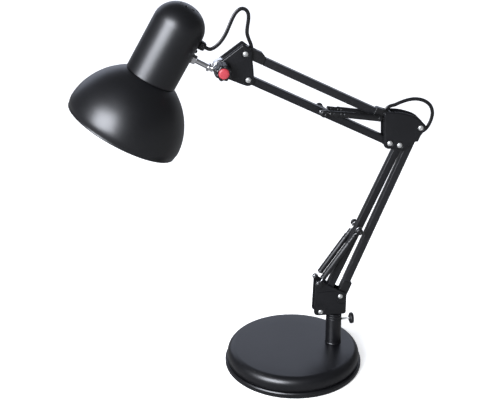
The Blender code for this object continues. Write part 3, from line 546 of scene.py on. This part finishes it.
# ------------------------------------------------------------------ base, post and thumb screw
def make_base():
    pad_profile = [(0, 0), (92.6, 0), (93.4, 0.5), (93.4, 1.2), (0, 1.2)]
    pad = turned("foam_pad", pad_profile, (0, 0, 0), Z_AXIS, FOAM, 180, r=0.2)
    place(pad, "base", "base_pad")
    rim_profile = [
        (90.2, SEAT_Z), (94.4, SEAT_Z), (95.0, SEAT_Z + 1.2), (95.0, 7.4), (93.9, 9.0), (90.2, 9.0),
    ]
    rim = turned("rim_ring", rim_profile, (0, 0, 0), Z_AXIS, PAINT, 220, closed=True, r=0.7, steps=4)
    place(rim, "base", "base_rim")

    # the cover: a quarter circle between its wall and its flat top, outside and inside
    bend_r, bend_z, outer_r, inner_r = 81.0, 17.0, 11, 9.4
    outer = [
        (bend_r + outer_r * math.cos(a), bend_z + outer_r * math.sin(a))
        for a in (math.pi / 2 * i / 14 for i in range(15))
    ]
    inner = [
        (bend_r + inner_r * math.cos(a), bend_z + inner_r * math.sin(a))
        for a in (math.pi / 2 * i / 8 for i in range(8, -1, -1))
    ]
    top = [(60, COVER_TOP), (30, COVER_TOP), (0, COVER_TOP), (0, 26.4)]
    profile = [(91.6, 9.3), (92.0, 9.9)] + outer + top + inner + [(90.4, 9.3)]
    shell = turned("base_cover", profile, (0, 0, 0), Z_AXIS, PAINT, 220, closed=True, r=0, sharp=40)
    outlet = drill(3.2, 80, 100, (0, 0, OUTLET_Z), Y_AXIS, 40)
    hole = drill(3.6, 20, 40, (POST_X, 0, 0), Z_AXIS)
    place(shade(cut(shell, outlet, hole), 40), "base", "base_shell")

    weight_profile = [
        (0, SEAT_Z), (88.6, SEAT_Z), (89.4, SEAT_Z + 0.8), (89.4, 12.0), (85.4, 16.0), (0, 16.0),
    ]
    boss_profile = [(0, 13), (15.0, 13), (13.4, 26.1), (0, 26.1)]
    well_profile = [(0, -1), (9.0, -1), (9.0, 10.0), (3.6, 10.0), (3.6, 40), (0, 40)]
    weight = turned("cast_weight", weight_profile, (0, 0, 0), Z_AXIS, IRON, 120, r=0.8)
    add(weight, turned("boss", boss_profile, (POST_X, 0, 0), Z_AXIS, IRON, 64, r=0.4))
    well = turned("tool", well_profile, (POST_X, 0, 0), Z_AXIS, None, 40, r=0)
    channel = slab("tool", [(-5, 8), (5, 8), (5, 40), (-5, 40)], 60, 100)
    place(shade(cut(weight, well, channel)), "base", "base_weight")

    bolt_profile = [
        (0, 6.4), (2.6, 6.4), (2.6, 4.6), (6.2, 4.6), (6.6, 5.2), (6.6, 9.2), (6.0, 9.7), (3.1, 9.7),
        (3.1, 37.0), (2.5, 37.8), (0, 37.8),
    ]
    bolt = turned("post_bolt", bolt_profile, (POST_X, 0, 0), Z_AXIS, ZINC, 48, r=0.25)
    place(bolt, "base", "base_bolt")
    grommet_profile = [
        (1.9, 87.6), (4.3, 87.6), (4.3, 89.7), (2.9, 89.9), (2.9, 92.5), (4.4, 92.7), (4.4, 94.0),
        (3.7, 94.2), (3.6, 94.9), (4.0, 95.1), (3.6, 96.2), (3.0, 96.4), (2.8, 97.4), (1.9, 97.4),
    ]
    grommet = turned(
        "lead_grommet", grommet_profile, (0, 0, OUTLET_Z), Y_AXIS, RUBBER, 48, closed=True, r=0.2
    )
    place(grommet, "base", "cord_grommet")

    z0 = COVER_TOP + 0.3
    post_profile = [
        (3.4, z0), (11.4, z0), (11.4, z0 + 1.0), (10.9, z0 + 1.8), (10.9, 67.6), (10.55, 67.9),
        (10.55, 68.5), (10.9, 68.8), (10.9, 71.4), (10.3, 72.0), (8.6, 72.0), (8.6, 39.5), (3.4, 39.5),
    ]
    post = turned("post", post_profile, (POST_X, 0, 0), Z_AXIS, PAINT, 96, closed=True, r=0.3)
    tapped = drill(1.9, 5, 14, (POST_X, 0, THUMB_Z), X_AXIS)
    place(shade(cut(post, tapped)), "base", "post_tube")


def make_thumb_screw():
    at = (POST_X, 0, THUMB_Z)
    line = [(0, 8.8), (1.2, 8.8)]
    for i in range(20):
        line += [(1.65, 9.4 + 0.6 * i), (1.42, 9.7 + 0.6 * i)]
    line += [(1.65, 21.6), (1.65, 26.0), (0, 26.0)]
    shank = turned("thumb_screw_shank", line, at, X_AXIS, ZINC, 40, r=0)
    place(shank, "thumb_screw", "thumb_shank")

    def knurl(a, t):
        return 1.0 + 0.012 * math.cos(30 * a) if 23.4 < t < 26.9 else 1.0

    head_profile = [
        (1.95, 21.4), (4.0, 21.4), (4.2, 22.0), (7.0, 22.7), (7.75, 23.8), (7.75, 26.4), (7.0, 27.5),
        (3.0, 28.1), (0, 28.1), (0, 26.4), (1.95, 26.4),
    ]
    head = turned(
        "thumb_screw_head", head_profile, at, X_AXIS, PLASTIC, 180, closed=True, r=0.5, wave=knurl, steps=4
    )
    place(head, "thumb_screw", "thumb_head")


# ------------------------------------------------------------------ screws, plates and brackets
def axle(name, node, at, body):
    """A pan-head cross-recess screw with, on the far side, its hexagon nut."""
    seat = PLATE_OUT + 0.3
    head_profile = [
        (0, -seat - 2.1), (1.4, -seat - 2.05), (2.6, -seat - 1.65), (3.3, -seat - 0.95),
        (3.5, -seat - 0.2), (3.4, -seat), (2.1, -seat),
        (2.1, seat), (2.1, seat + 3.0), (1.6, seat + 3.3), (0, seat + 3.3),
    ]
    head = turned(name, head_profile, spot(at), Y_AXIS, ZINC, 48, r=0.12)
    x, z = at
    arm, half = 1.85, 0.34
    for degrees in (22, 112):
        c, s = math.cos(math.radians(degrees)), math.sin(math.radians(degrees))
        corners = ((-arm, -half), (arm, -half), (arm, half), (-arm, half))
        bar = [(x + c * u - s * v, z + s * u + c * v) for u, v in corners]
        cut(head, slab("tool", bar, -seat - 4, -seat - 1.15))
    nut_profile = [
        (2.15, seat + 0.02), (3.95, seat + 0.02), (3.95, seat + 2.2), (3.6, seat + 2.45), (2.15, seat + 2.45),
    ]
    nut = turned("nut", nut_profile, spot(at), Y_AXIS, ZINC, 6, closed=True, r=0, sharp=20)
    join(shade(head, 30), nut)
    place(head, body, node)


def plate(name, node, body, side, outline, panel, recess, holes):
    """A pressed side plate: thin sheet with an eased edge, raised panel, and recesses round the screws."""
    y0, y1 = sorted((side * PLATE_IN, side * PLATE_OUT))
    obj = slab(name, outline, y0, y1, PAINT, 0.75, limit=30)
    y0, y1 = sorted((side * (PLATE_OUT - 1.5), side * PANEL_OUT))
    add(obj, slab("panel", panel, y0, y1, PAINT, 1.1, 4, limit=30))
    well_profile = [
        (0, PLATE_OUT), (4.75, PLATE_OUT), (5.05, PLATE_OUT + 0.25), (5.2, PANEL_OUT - 0.1),
        (5.6, PANEL_OUT + 0.4), (5.6, PANEL_OUT + 2), (0, PANEL_OUT + 2),
    ]
    for at in recess:
        cut(obj, turned("tool", well_profile, spot(at), (0, side, 0), None, 56, r=0))
    y0, y1 = sorted((side * (PLATE_IN - 2), side * (PANEL_OUT + 2)))
    for at, r in holes:
        cut(obj, drill(r, y0, y1, spot(at), Y_AXIS, 48))
    place(shade(obj, 28), body, node)


def plate_pair(name, node, body, outline, panel, screws, *other_holes):
    """The near and the far side plate of a bracket."""
    holes = [(p, SCREW_HOLE) for p in screws] + list(other_holes)
    for tag, side in SIDES:
        plate(f"{name}_{tag}", f"{node}_{tag}", body, side, outline, panel, screws, holes)
LOWER_OUTLINE = (
    arc((33.4, 82.2), 6.6, 180, 270, 12)
    + arc((68.8, 78.8), 3.2, 270, 360, 8)
    + [(72.0, 105.2)]
    + arc((69.0, 105.4), 3.0, 0, 62, 6)
    + [(52.3, 117.4)]
    + arc((32.2, 125.6), 4.0, 66, 180, 12)
)
LOWER_PANEL = rounded(
    [
        (31.2, 111.4), (30.9, 93.0), (32.0, 92.2), (39.4, 91.6), (42.0, 89.8), (43.4, 86.6), (43.8, 82.6),
        (45.0, 81.2), (46.6, 80.8), (68.6, 81.0), (70.4, 82.8), (70.4, 90.8), (69.0, 92.2), (62.8, 92.6),
        (60.2, 94.6), (58.4, 98.2), (56.8, 110.0), (54.4, 112.6),
    ],
    1.2, 3, True,
)
ELBOW_TOP = [
    (157.5, 356.6), (153.0, 359.3), (148.0, 361.4), (142.5, 363.3), (137.0, 364.9), (131.0, 366.0),
    (125.0, 366.6), (120.0, 366.8), (116.0, 366.7),
]
ELBOW_OUTLINE = (
    arc((120.8, 324.4), 8.2, 170, 285, 14)
    + arc((134.3, 320.4), 8.6, 262, 312, 8)
    + arc((151.4, 331.0), 8.0, -42, -22, 4)
    + arc((161.0, 343.3), 7.0, -38, 52, 10)
    + ELBOW_TOP
    + arc((113.4, 364.0), 2.6, 90, 180, 8)
)
HEAD_OUTLINE = (
    arc(K, 9.4, 118, 262, 18)
    + [(-86.6, 417.8), (-72.7, 411.6)]
    + arc((-64.6, 417.1), 8.0, 250, 352, 12)
    + [(-57.8, 432.0), (-59.4, 446.0)]
    + arc((-67.6, 450.4), 8.6, 0, 62, 8)
    + arc((-70.2, 459.2), 3.4, 60, 132, 6)
)


def make_lower_bracket():
    plate_pair(
        "lower_side_plate", "lower_plate", "lower_bracket",
        LOWER_OUTLINE, LOWER_PANEL, (P1, P2), (A1, STUD_HOLE),
    )
    collar_profile = [
        (2.6, 43), (7.4, 43), (8.2, 44.2), (8.2, 72.2), (10.2, 72.3), (10.6, 72.8), (10.6, 74.4),
        (10.0, 75.0), (2.6, 75.0),
    ]
    spigot = turned(
        "swivel_collar", collar_profile, (POST_X, 0, 0), Z_AXIS, PAINT, 72, closed=True, r=0.25
    )
    tang_outline = [(50.2, 74.4), (68.0, 74.4), (68.0, 88.0), (56.0, 88.0), (50.2, 82.0)]
    tang = slab("tang", tang_outline, -6.3, 6.3, PAINT, 0.4)
    bore = drill(2.6, 40, 95, (POST_X, 0, 0), Z_AXIS)
    place(shade(cut(add(spigot, tang), bore)), "lower_bracket", "swivel_spigot")
    axle("lower_front_screw", "axle_lower_front", P1, "lower_bracket")
    axle("lower_rear_screw", "axle_lower_rear", P2, "lower_bracket")
    stud_profile = [
        (0, 6.0), (3.2, 6.0), (3.2, 6.35), (1.95, 6.35), (1.95, 12.3), (3.9, 12.3), (3.9, 14.8),
        (3.3, 15.4), (0, 15.4),
    ]
    for tag, side in SIDES:
        stud = turned(f"spring_anchor_{tag}", stud_profile, spot(A1), (0, side, 0), PLASTIC, 48)
        place(stud, "lower_bracket", f"spring_stud_{tag}")


def make_elbow():
    panel = inset(ELBOW_OUTLINE, 1.3)
    plate_pair("elbow_side_plate", "elbow_plate", "elbow", ELBOW_OUTLINE, panel, (P3, P4, P5))
    for tag, at in (("front", P3), ("rear", P4), ("bottom", P5)):
        axle(f"elbow_{tag}_screw", f"axle_elbow_{tag}", at, "elbow")
    pin_profile = [(0, -7.4), (1.7, -7.4), (2.1, -7.0), (2.1, 7.0), (1.7, 7.4), (0, 7.4)]
    pin = turned("elbow_top_pin", pin_profile, spot(P6), Y_AXIS, ZINC, 40, r=0.1)
    place(pin, "elbow", "axle_elbow_top")


def make_head_bracket():
    panel = inset(HEAD_OUTLINE, 1.3)
    plate_pair(
        "head_side_plate", "head_plate", "head_bracket", HEAD_OUTLINE, panel, (H6, H5), (K, CLAMP_HOLE)
    )
    axle("head_top_screw", "axle_head_top", H6, "head_bracket")
    axle("head_bottom_screw", "axle_head_bottom", H5, "head_bracket")
    bolt_profile = [
        (0, 13.8), (2.4, 13.75), (4.4, 13.4), (5.6, 12.4), (5.6, 9.5), (2.5, 9.5), (2.5, -9.3),
        (9.8, -9.3), (9.8, -9.75), (2.5, -9.75), (2.5, -24.5), (2.0, -25.2), (0, -25.2),
    ]
    bolt = turned("clamp_screw", bolt_profile, spot(K), Y_AXIS, ZINC, 64, r=0.12)
    place(bolt, "head_bracket", "clamp_bolt")

    def lobes(a, t):
        grow = max(0.0, min(1.0, (t - 10.6) / 2.4))
        return 1.0 - 0.075 * grow * (1 + math.cos(8 * a)) ** 1.2 / 1.2

    knob_profile = [
        (2.8, 10.0), (8.4, 10.0), (9.4, 10.7), (10.9, 12.0), (11.25, 13.4), (11.25, 16.0), (11.1, 19.5),
        (10.9, 23.0), (10.7, 26.0), (10.4, 28.4), (9.6, 29.8), (8.4, 30.4), (7.2, 30.5), (7.0, 28.6),
        (0, 28.6), (0, 26.0), (2.8, 26.0),
    ]
    towards_viewer = (0, -1, 0)
    knob = turned(
        "clamp_knob", knob_profile, spot(K), towards_viewer, PLASTIC, 192,
        closed=True, r=0.45, wave=lobes, sharp=45, steps=4,
    )
    place(knob, "tilt_knob", "tilt_knob")
    cap_profile = [(0, 28.9), (6.6, 28.9), (6.7, 30.4), (6.2, 31.4), (4.6, 32.1), (2.4, 32.4), (0, 32.5)]
    cap = turned("knob_red_cap", cap_profile, spot(K), towards_viewer, RED, r=0.3, steps=4)
    place(cap, "tilt_knob", "knob_cap")


# ------------------------------------------------------------------ arms
def plain_tube(name, node, line, pivots, pin, body):
    """A square tube with round ends, hollow, with holes for its two screws and for the springs' pin."""
    d, _ = unit(*line)
    at = local(line[0], d)
    s0, s1 = foot(pivots[0], line)[0], foot(pivots[1], line)[0]
    h, b = TUBE_HALF, TUBE_HALF - TUBE_WALL
    half_turn = [math.pi * i / 18 for i in range(19)]
    ring = [at(s1 + h * math.sin(a), -h * math.cos(a)) for a in half_turn]
    ring += [at(s0 - h * math.sin(a), h * math.cos(a)) for a in half_turn]
    obj = slab(name, ring, -h, h, PAINT, 1.0, 4)
    cut(obj, slab("tool", [at(s0 - 20, -b), at(s1 + 20, -b), at(s1 + 20, b), at(s0 - 20, b)], -b, b))
    for p in pivots:
        cut(obj, pivot_hole(SCREW_HOLE, p))
    cut(obj, pivot_hole(PIN_HOLE, pin))
    place(shade(obj, 30), body, node)


def lead_tube(name, node, line, s0, s1, body):
    """An open square tube between two end fittings, which the lead runs through."""
    d, _ = unit(*line)
    at = local(line[0], d)
    h, b = TUBE_HALF, TUBE_HALF - TUBE_WALL
    r, r_inner = 1.1, 0.3
    outer, inner = [], []
    for i, (u, v) in enumerate(((1, 1), (-1, 1), (-1, -1), (1, -1))):
        for k in range(6):
            a = math.radians(90 * i + 18 * k)
            c, s = math.cos(a), math.sin(a)
            outer.append((u * (h - r) + r * c, v * (h - r) + r * s))
            inner.append((u * (b - r_inner) + r_inner * c, v * (b - r_inner) + r_inner * s))
    points, rings, faces = [], [], []
    for s, section in ((s0, outer), (s1, outer), (s1, inner), (s0, inner)):
        rings.append([])
        for w, y in section:
            x, z = at(s, w)
            rings[-1].append(len(points))
            points.append((x, y, z))
    n = len(outer)
    for a, c in zip(rings, rings[1:] + rings[:1]):
        faces += [[a[k], a[(k + 1) % n], c[(k + 1) % n], c[k]] for k in range(n)]
    place(object_of(name, grid(points, faces), PAINT, 30), body, node)


def end_fitting(name, node, pivot, line, towards, side, reach, bump, body):
    """A moulded end with an axle boss, a plug into the tube and a way out for the lead."""
    d, _ = unit(*line)
    s, w = foot(pivot, line)
    origin = (line[0][0] + d[0] * s, line[0][1] + d[1] * s)
    at = local(origin, (d[0] * towards, d[1] * towards), side)
    half, low, top = 4.9, -4.9, bump[-1][1]
    lobe = max(5.6, w * towards * side + 4.4)
    outline = [(reach, low), (reach, bump[0][1]), *bump[1:]]
    outline += [(0.5, top), (-2.6, top - 1.4), (-4.6, lobe - 2.4), (-5.2, 1.0), (-4.4, -2.6), (-2.4, low)]
    outline = [at(*p) for p in rounded(outline, 2.4, 5, True)]
    obj = slab(name, outline, -half, half, PLASTIC, 0.8, 4, limit=30)
    plug_half, plug_start, plug_end = 3.7, reach - 0.5, reach + 9
    plug = [
        at(plug_start, -plug_half), at(plug_start, plug_half),
        at(plug_end, plug_half), at(plug_end, -plug_half),
    ]
    add(obj, slab("plug", plug, -plug_half, plug_half, PLASTIC, 0.3))
    way = [
        (reach + 12, -2.4), (reach + 12, 2.4), (15.0, 2.4), (11.6, 5.0), (10.2, 14.0), (0.6, 14.0),
        (3.6, 3.6), (9.0, -2.4),
    ]
    cut(obj, slab("tool", [at(*p) for p in way], -2.9, 2.9), pivot_hole(SCREW_HOLE, pivot))
    place(shade(obj, 32), body, node)


def cross_pin(name, node, at, body):
    """The pin through an arm that a pair of springs pulls on, with a cap at each end."""
    half = [
        (1.7, 14.0), (3.4, 14.1), (4.6, 14.5), (4.6, 16.9), (3.6, 17.8), (1.6, 17.8), (1.2, 17.3), (0, 17.3),
    ]
    profile = [(r, -y) for r, y in reversed(half)] + half
    pin = turned(name, profile, spot(at), Y_AXIS, PLASTIC, 56, r=0.5, steps=4)
    place(pin, body, node)


def make_arms():
    low, up = "lower_rear_rod", "upper_top_rod"
    plain_tube("lower_front_bar", "lower_front_tube", FRONT_LINE, (P1, P3), B1, "lower_front_rod")
    s2, s4 = foot(P2, REAR_LINE)[0], foot(P4, REAR_LINE)[0]
    lead_tube("lower_rear_bar", "lower_rear_tube", REAR_LINE, s2 + 22.3, s4 - 20.3, low)
    bump = ((22, 8.2), (20, 8.4), (2, 8.4))
    end_fitting("lower_rear_end", "rear_fitting_bottom", P2, REAR_LINE, 1, -1, 22, bump, low)
    bump = ((20, 8.0), (18, 8.6), (2, 8.8))
    end_fitting("upper_rear_end", "rear_fitting_top", P4, REAR_LINE, -1, 1, 20, bump, low)
    cross_pin("lower_spring_bar", "lower_cross_pin", B1, "lower_front_rod")
    plain_tube("upper_lower_bar", "upper_bottom_tube", (P5, H5), (P5, H5), B2, "upper_bottom_rod")
    top = (P6, H6)
    lead_tube("upper_upper_bar", "upper_top_tube", top, 20.3, unit(*top)[1] - 27.3, up)
    bump = ((20, 6.8), (16, 7.4), (2, 9.0))
    end_fitting("top_bar_elbow_end", "top_fitting_elbow", P6, top, 1, -1, 20, bump, up)
    bump = ((27, 5.2), (20, 9.0), (2, 9.2))
    end_fitting("top_bar_head_end", "top_fitting_head", H6, top, -1, 1, 27, bump, up)
    cross_pin("upper_spring_bar", "upper_cross_pin", B2, "upper_bottom_rod")


# ------------------------------------------------------------------ springs
def spring_set(prefix, anchor, pin, start, end, eye_y, tip):
    """Two sleeved springs: a hook and sleeve at the bracket, and a coil that ends in an eye round the pin.

    Start and end are the ends of the sleeve, and tip is where the cover over the coil ends, along the spring.
    """
    d, length = unit(anchor, pin)
    body, cores = f"{prefix}s", f"{prefix}_cores"

    def at(s, w, y):
        return (anchor[0] + d[0] * s - d[1] * w, y, anchor[1] + d[1] * s + d[0] * w)

    for tag, side in SIDES:
        y, ey = side * SPRING_Y, side * eye_y
        o, axis = at(0, 0, y), (d[0], 0, d[1])
        profile = [
            (3.5, start), (3.85, start), (4.1, start + 0.5), (4.1, start + 3.6), (3.75, start + 3.9),
            (3.75, start + 4.5), (4.05, start + 4.9), (4.05, end - 4.9), (3.75, end - 4.5), (3.75, end - 3.9),
            (4.1, end - 3.6), (4.1, end - 0.5), (3.85, end), (3.5, end),
        ]
        sleeve = turned(f"{prefix}_cover_{tag}", profile, o, axis, SLEEVE, 40, closed=True, r=0.2)
        place(sleeve, body, f"{prefix}_sleeve_{tag}")

        hook_r = 3.15
        path = []
        for degrees in range(-35, -360, -20):
            a = math.radians(degrees)
            path.append(at(hook_r * math.cos(a), hook_r * math.sin(a), ey))
        path += [
            at(4.8, 0.3, ey), at(start - 2.6, 0, ey), at(start - 0.2, 0, ey + (y - ey) * 0.62),
            at(start + 3.0, 0, y),
        ]
        hook = tube(f"{prefix}_hook_wire_{tag}", catmull(path, 4), circle(WIRE_R, 12), WIRE)
        place(hook, body, f"{prefix}_hook_{tag}")

        profile = [
            (2.95, end - 16.0), (3.3, end - 16.0), (3.3, tip - 4.6), (3.05, tip - 4.3), (3.05, tip - 3.8),
            (3.3, tip - 3.5), (3.3, tip), (2.95, tip),
        ]
        cover = turned(f"{prefix}_inner_cover_{tag}", profile, o, axis, SLEEVE, 40, closed=True, r=0.15)
        path = []
        for degrees in range(150, -160, -18):
            a = math.radians(degrees)
            path.append(at(length + 4.5 * math.cos(a), 3.0 * math.sin(a), y))
        path = catmull(path + [at(length - 5.6, -0.4, y)], 3)
        coil_r, pitch, turns, steps = 2.1, 1.3, 6, 14
        path += [Vector(at(tip + 1.4, 0.4, y)), Vector(at(tip + 0.2, 1.4, y))]
        for k in range(turns * steps):
            a = 2 * math.pi * k / steps
            back = tip - 0.6 - pitch * k / steps
            path.append(Vector(at(back, coil_r * math.cos(a), y + coil_r * math.sin(a))))
        core = tube(f"{prefix}_coil_{tag}", path, circle(WIRE_R, 8), WIRE)
        place(core, cores, f"{prefix}_core_{tag}")
        place(cover, cores, f"{prefix}_core_{tag}")


# ------------------------------------------------------------------ head
SHADE_PROFILE = [
    (73.4, 0.0), (75.0, 8.0), (74.3, 17.0), (71.7, 28.0), (67.3, 38.9), (60.7, 50.3), (52.1, 61.0),
    (41.5, 70.4), (33.2, 76.2),
]


def make_shade():
    """One spun wall with a rolled bead at the mouth and a neck inside the housing, white within."""
    o, axis = Vector(on_axis(0)), Vector(AXIS)
    wall = catmull([(r, 0, t) for r, t in SHADE_PROFILE], 6)
    outer = [(p.x, p.z) for p in wall]
    inner = [(p.x - 1.05, p.z - 0.35) for p in reversed(wall)][:-3]
    bead_r = 1.05
    bead = [
        (72.75 + bead_r * math.cos(a), 0.05 + bead_r * math.sin(a))
        for a in (math.radians(200 + 17 * i) for i in range(12))
    ]
    neck = [(31.4, 76.5), (31.6, 83.0), (30.6, 83.0), (30.6, 75.6)]
    bowl = turned(
        "bell_shade", outer[2:] + neck + inner + bead, o, AXIS, HEAD_PAINT, 180, closed=True, r=0, sharp=32
    )
    bowl.data.materials.append(WHITE)
    for face in bowl.data.polygons:
        p = face.center / MM - o
        up = p.dot(axis)
        if (p - axis * up).dot(face.normal) < 0 and up > 1.0:
            face.material_index = 1
    place(bowl, "head", "lamp_shade")


def make_housing():
    """The domed housing, with holes for the stem, the lead and the vents, and its strain relief."""
    r, at, h, w = HOUSING_R, DOME_AT, DOME_H, HOUSING_WALL
    quarter = [math.pi / 2 * i / 20 for i in range(21)]
    dome = [(r * math.cos(a), at + h * math.sin(a)) for a in quarter]
    dome[-1] = (0, at + h)
    quarter = [math.pi / 2 * i / 12 for i in range(12, -1, -1)]
    inside = [((r - w) * math.cos(a), at + (h - w) * math.sin(a)) for a in quarter]
    inside[0] = (0, at + h - w)
    side = [(r - 0.35, HOUSING_LOW), (r, 77.3), (r, 100), (r, 125)]
    profile = side + dome + inside + [(r - w, HOUSING_LOW)]
    housing = turned(
        "lamp_housing", profile, on_axis(0), AXIS, HEAD_PAINT, 144, closed=True, r=0, sharp=40
    )
    pip_profile = [(0, 31.9), (2.3, 31.9), (2.3, 34.4), (1.6, 35.2), (0, 35.2)]
    add(housing, turned("pip", pip_profile, on_axis(STEM_AT + 10.0), OUT, HEAD_PAINT, 32, r=0.3))
    for t in (STEM_AT, GLAND_AT):
        cut(housing, drill(SIDE_HOLE, 20, 45, on_axis(t), OUT))
    for k in range(VENTS):
        a = math.radians(22.5 + 45 * k)
        vent = on_axis(0, VENT_RING * math.cos(a), VENT_RING * math.sin(a))
        cut(housing, drill(VENT_R, 165, 185, vent, AXIS, 28))
    place(shade(housing, 40), "head", "socket_housing")

    def boxy(a, t):
        n = 5.0
        c, s = abs(math.cos(a)), abs(math.sin(a))
        return 1.0 / (c**n + s**n) ** (1 / n) * 0.93 if t > 33.4 else 1.0

    gland_profile = [
        (1.6, 28.0), (5.0, 28.0), (5.0, 30.9), (3.3, 31.2), (3.3, 33.2), (6.0, 33.5), (6.0, 35.5),
        (5.1, 35.6), (5.1, 36.2), (5.9, 36.3), (5.9, 37.7), (4.9, 37.8), (4.9, 38.4), (5.6, 38.5),
        (5.5, 39.6), (4.6, 40.6), (3.6, 41.0), (1.6, 41.0),
    ]
    gland = turned(
        "strain_relief", gland_profile, on_axis(GLAND_AT), OUT, PLASTIC, closed=True, r=0.18, wave=boxy
    )
    place(gland, "head", "lead_gland")


def make_bulb():
    """The lamp holder, and the bulb with its threaded cap."""
    o = on_axis(0)
    holder_profile = [
        (0, 174), (5, 174), (5, 150), (12, 147), (17.5, 140), (18.0, 128.0), (20.4, 126.0), (20.4, 122),
        (19.6, 121.5), (19.6, 104.5), (20.4, 104), (20.4, 100.0), (14.2, 100.0), (14.2, 134.0), (0, 134.0),
    ]
    holder = turned("lamp_holder", holder_profile, o, AXIS, HOLDER, r=0.8, steps=4)
    place(holder, "head", "lampholder")
    glass_profile = [
        (0, 21.0), (10.0, 22.8), (19.5, 28.5), (26.5, 37.5), (29.5, 49.0), (28.4, 61.0), (23.5, 73.0),
        (17.5, 84.0), (15.2, 92.0), (14.6, 97.0),
    ]
    glass = catmull([(r, 0, t) for r, t in glass_profile], 5)
    line = [glass_profile[0]] + [(max(0.0, p.x), p.z) for p in glass[1:]] + [(13.4, 98.6), (0, 98.7)]
    bulb = turned("bulb_glass", line, o, AXIS, GLASS, r=0)
    thread_r, thread_depth, thread_pitch = 12.9, 0.45, 3.6
    thread = [(0, 98.8)]
    for i in range(52):
        t = 99.0 + i * 0.45
        thread.append((thread_r + thread_depth * math.cos(2 * math.pi * t / thread_pitch), t))
    thread += [(11.0, 124.5), (9.0, 127.5), (4.6, 129.0), (4.0, 130.4), (0, 130.5)]
    join(bulb, turned("cap", thread, o, AXIS, BRASS, 72, r=0))
    place(bulb, "head", "bulb")


def make_stem():
    """The chrome eye on the clamp, the stem that carries the head, and the nut against the housing."""
    eye_profile = [(2.8, -6.1), (10.0, -6.1), (11.0, -5.1), (11.0, 5.1), (10.0, 6.1), (2.8, 6.1)]
    eye = turned("tilt_eye", eye_profile, spot(K), Y_AXIS, CHROME, 72, closed=True, r=0.4)
    stem_profile = [
        (0, 27.0), (2.6, 27.0), (3.2, 27.6), (3.2, 55.4), (5.1, 55.8), (5.4, 56.1), (5.4, 58.0),
        (5.1, 58.3), (3.6, 58.6), (3.6, 63.4), (0, 63.4),
    ]
    stem = turned("stem", stem_profile, on_axis(STEM_AT), OUT, CHROME, 64, r=0.2)
    place(shade(add(eye, stem)), "head_knuckle", "tilt_eye_stem")
    nut_profile = [(3.5, 33.3), (6.5, 33.3), (6.5, 34.3), (5.9, 34.6), (5.9, 38.2), (5.4, 38.8), (3.5, 38.8)]
    nut = turned("stem_lock_nut", nut_profile, on_axis(STEM_AT), OUT, CHROME, 6, closed=True, r=0, sharp=20)
    place(nut, "head", "stem_nut")


make_base()
make_thumb_screw()
make_lower_bracket()
make_elbow()
make_head_bracket()
make_arms()
lower_length, upper_length = unit(A1, B1)[1], unit(P6, B2)[1]
spring_set("lower_spring", A1, B1, 9.6, lower_length - 18.0, 10.7, lower_length - 9.0)
spring_set("upper_spring", P6, B2, 10.6, upper_length - 22.0, 5.75, upper_length - 9.0)
make_shade()
make_housing()
make_bulb()
make_stem()

# ------------------------------------------------------------------ floor and light
FLOOR_HALF, FLOOR_GLOW = 6.0, 0.62
bm = bmesh.new()
bmesh.ops.create_grid(bm, x_segments=2, y_segments=2, size=FLOOR_HALF)
floor = object_of("floor", bm, None)
ground, _, shader = nodes_of("pale_floor", (0.90, 0.90, 0.89), 0.8, spec=0.2)
shader.inputs["Emission Color"].default_value = (1.0, 1.0, 1.0, 1)
shader.inputs["Emission Strength"].default_value = FLOOR_GLOW
floor.data.materials.append(ground)
floor.visible_glossy = False


def lamp(name, at, aim, size, power, colour):
    """A rectangular area light that looks at a point."""
    light = bpy.data.lights.new(name, "AREA")
    light.shape = "RECTANGLE"
    light.size, light.size_y = size
    light.energy = power
    light.color = colour
    obj = bpy.data.objects.new(name, light)
    bpy.context.scene.collection.objects.link(obj)
    obj.location = at
    obj.rotation_euler = (Vector(aim) - Vector(at)).to_track_quat("-Z", "Y").to_euler()


lamp("key", (-1.28, -1.25, 1.12), (-0.08, 0, 0.27), (1.3, 1.1), 100, (0.89, 0.92, 1.0))
lamp("back", (0.1, 2.4, 1.25), (0, 0, 0.1), (4.0, 1.6), 24, (0.76, 0.82, 1.0))

# the surroundings are brighter below the horizon than above it, and fade between these two heights
FADE_FROM, FADE_TO, LOW_LIGHT, HIGH_LIGHT = -0.05, 0.12, 0.31, 0.13
world = bpy.data.worlds.new("studio")
bpy.context.scene.world = world
world.use_nodes = True
tree = world.node_tree
background = tree.nodes["Background"]
background.inputs["Color"].default_value = (0.93, 0.95, 1.0, 1)
way = tree.nodes.new("ShaderNodeTexCoord")
split = tree.nodes.new("ShaderNodeSeparateXYZ")
fade = tree.nodes.new("ShaderNodeMapRange")
fade.inputs["From Min"].default_value = FADE_FROM
fade.inputs["From Max"].default_value = FADE_TO
fade.inputs["To Min"].default_value = LOW_LIGHT
fade.inputs["To Max"].default_value = HIGH_LIGHT
tree.links.new(way.outputs["Generated"], split.inputs[0])
tree.links.new(split.outputs["Z"], fade.inputs["Value"])
tree.links.new(fade.outputs["Result"], background.inputs["Strength"])
bpy.context.scene.view_settings.view_transform = "Standard"
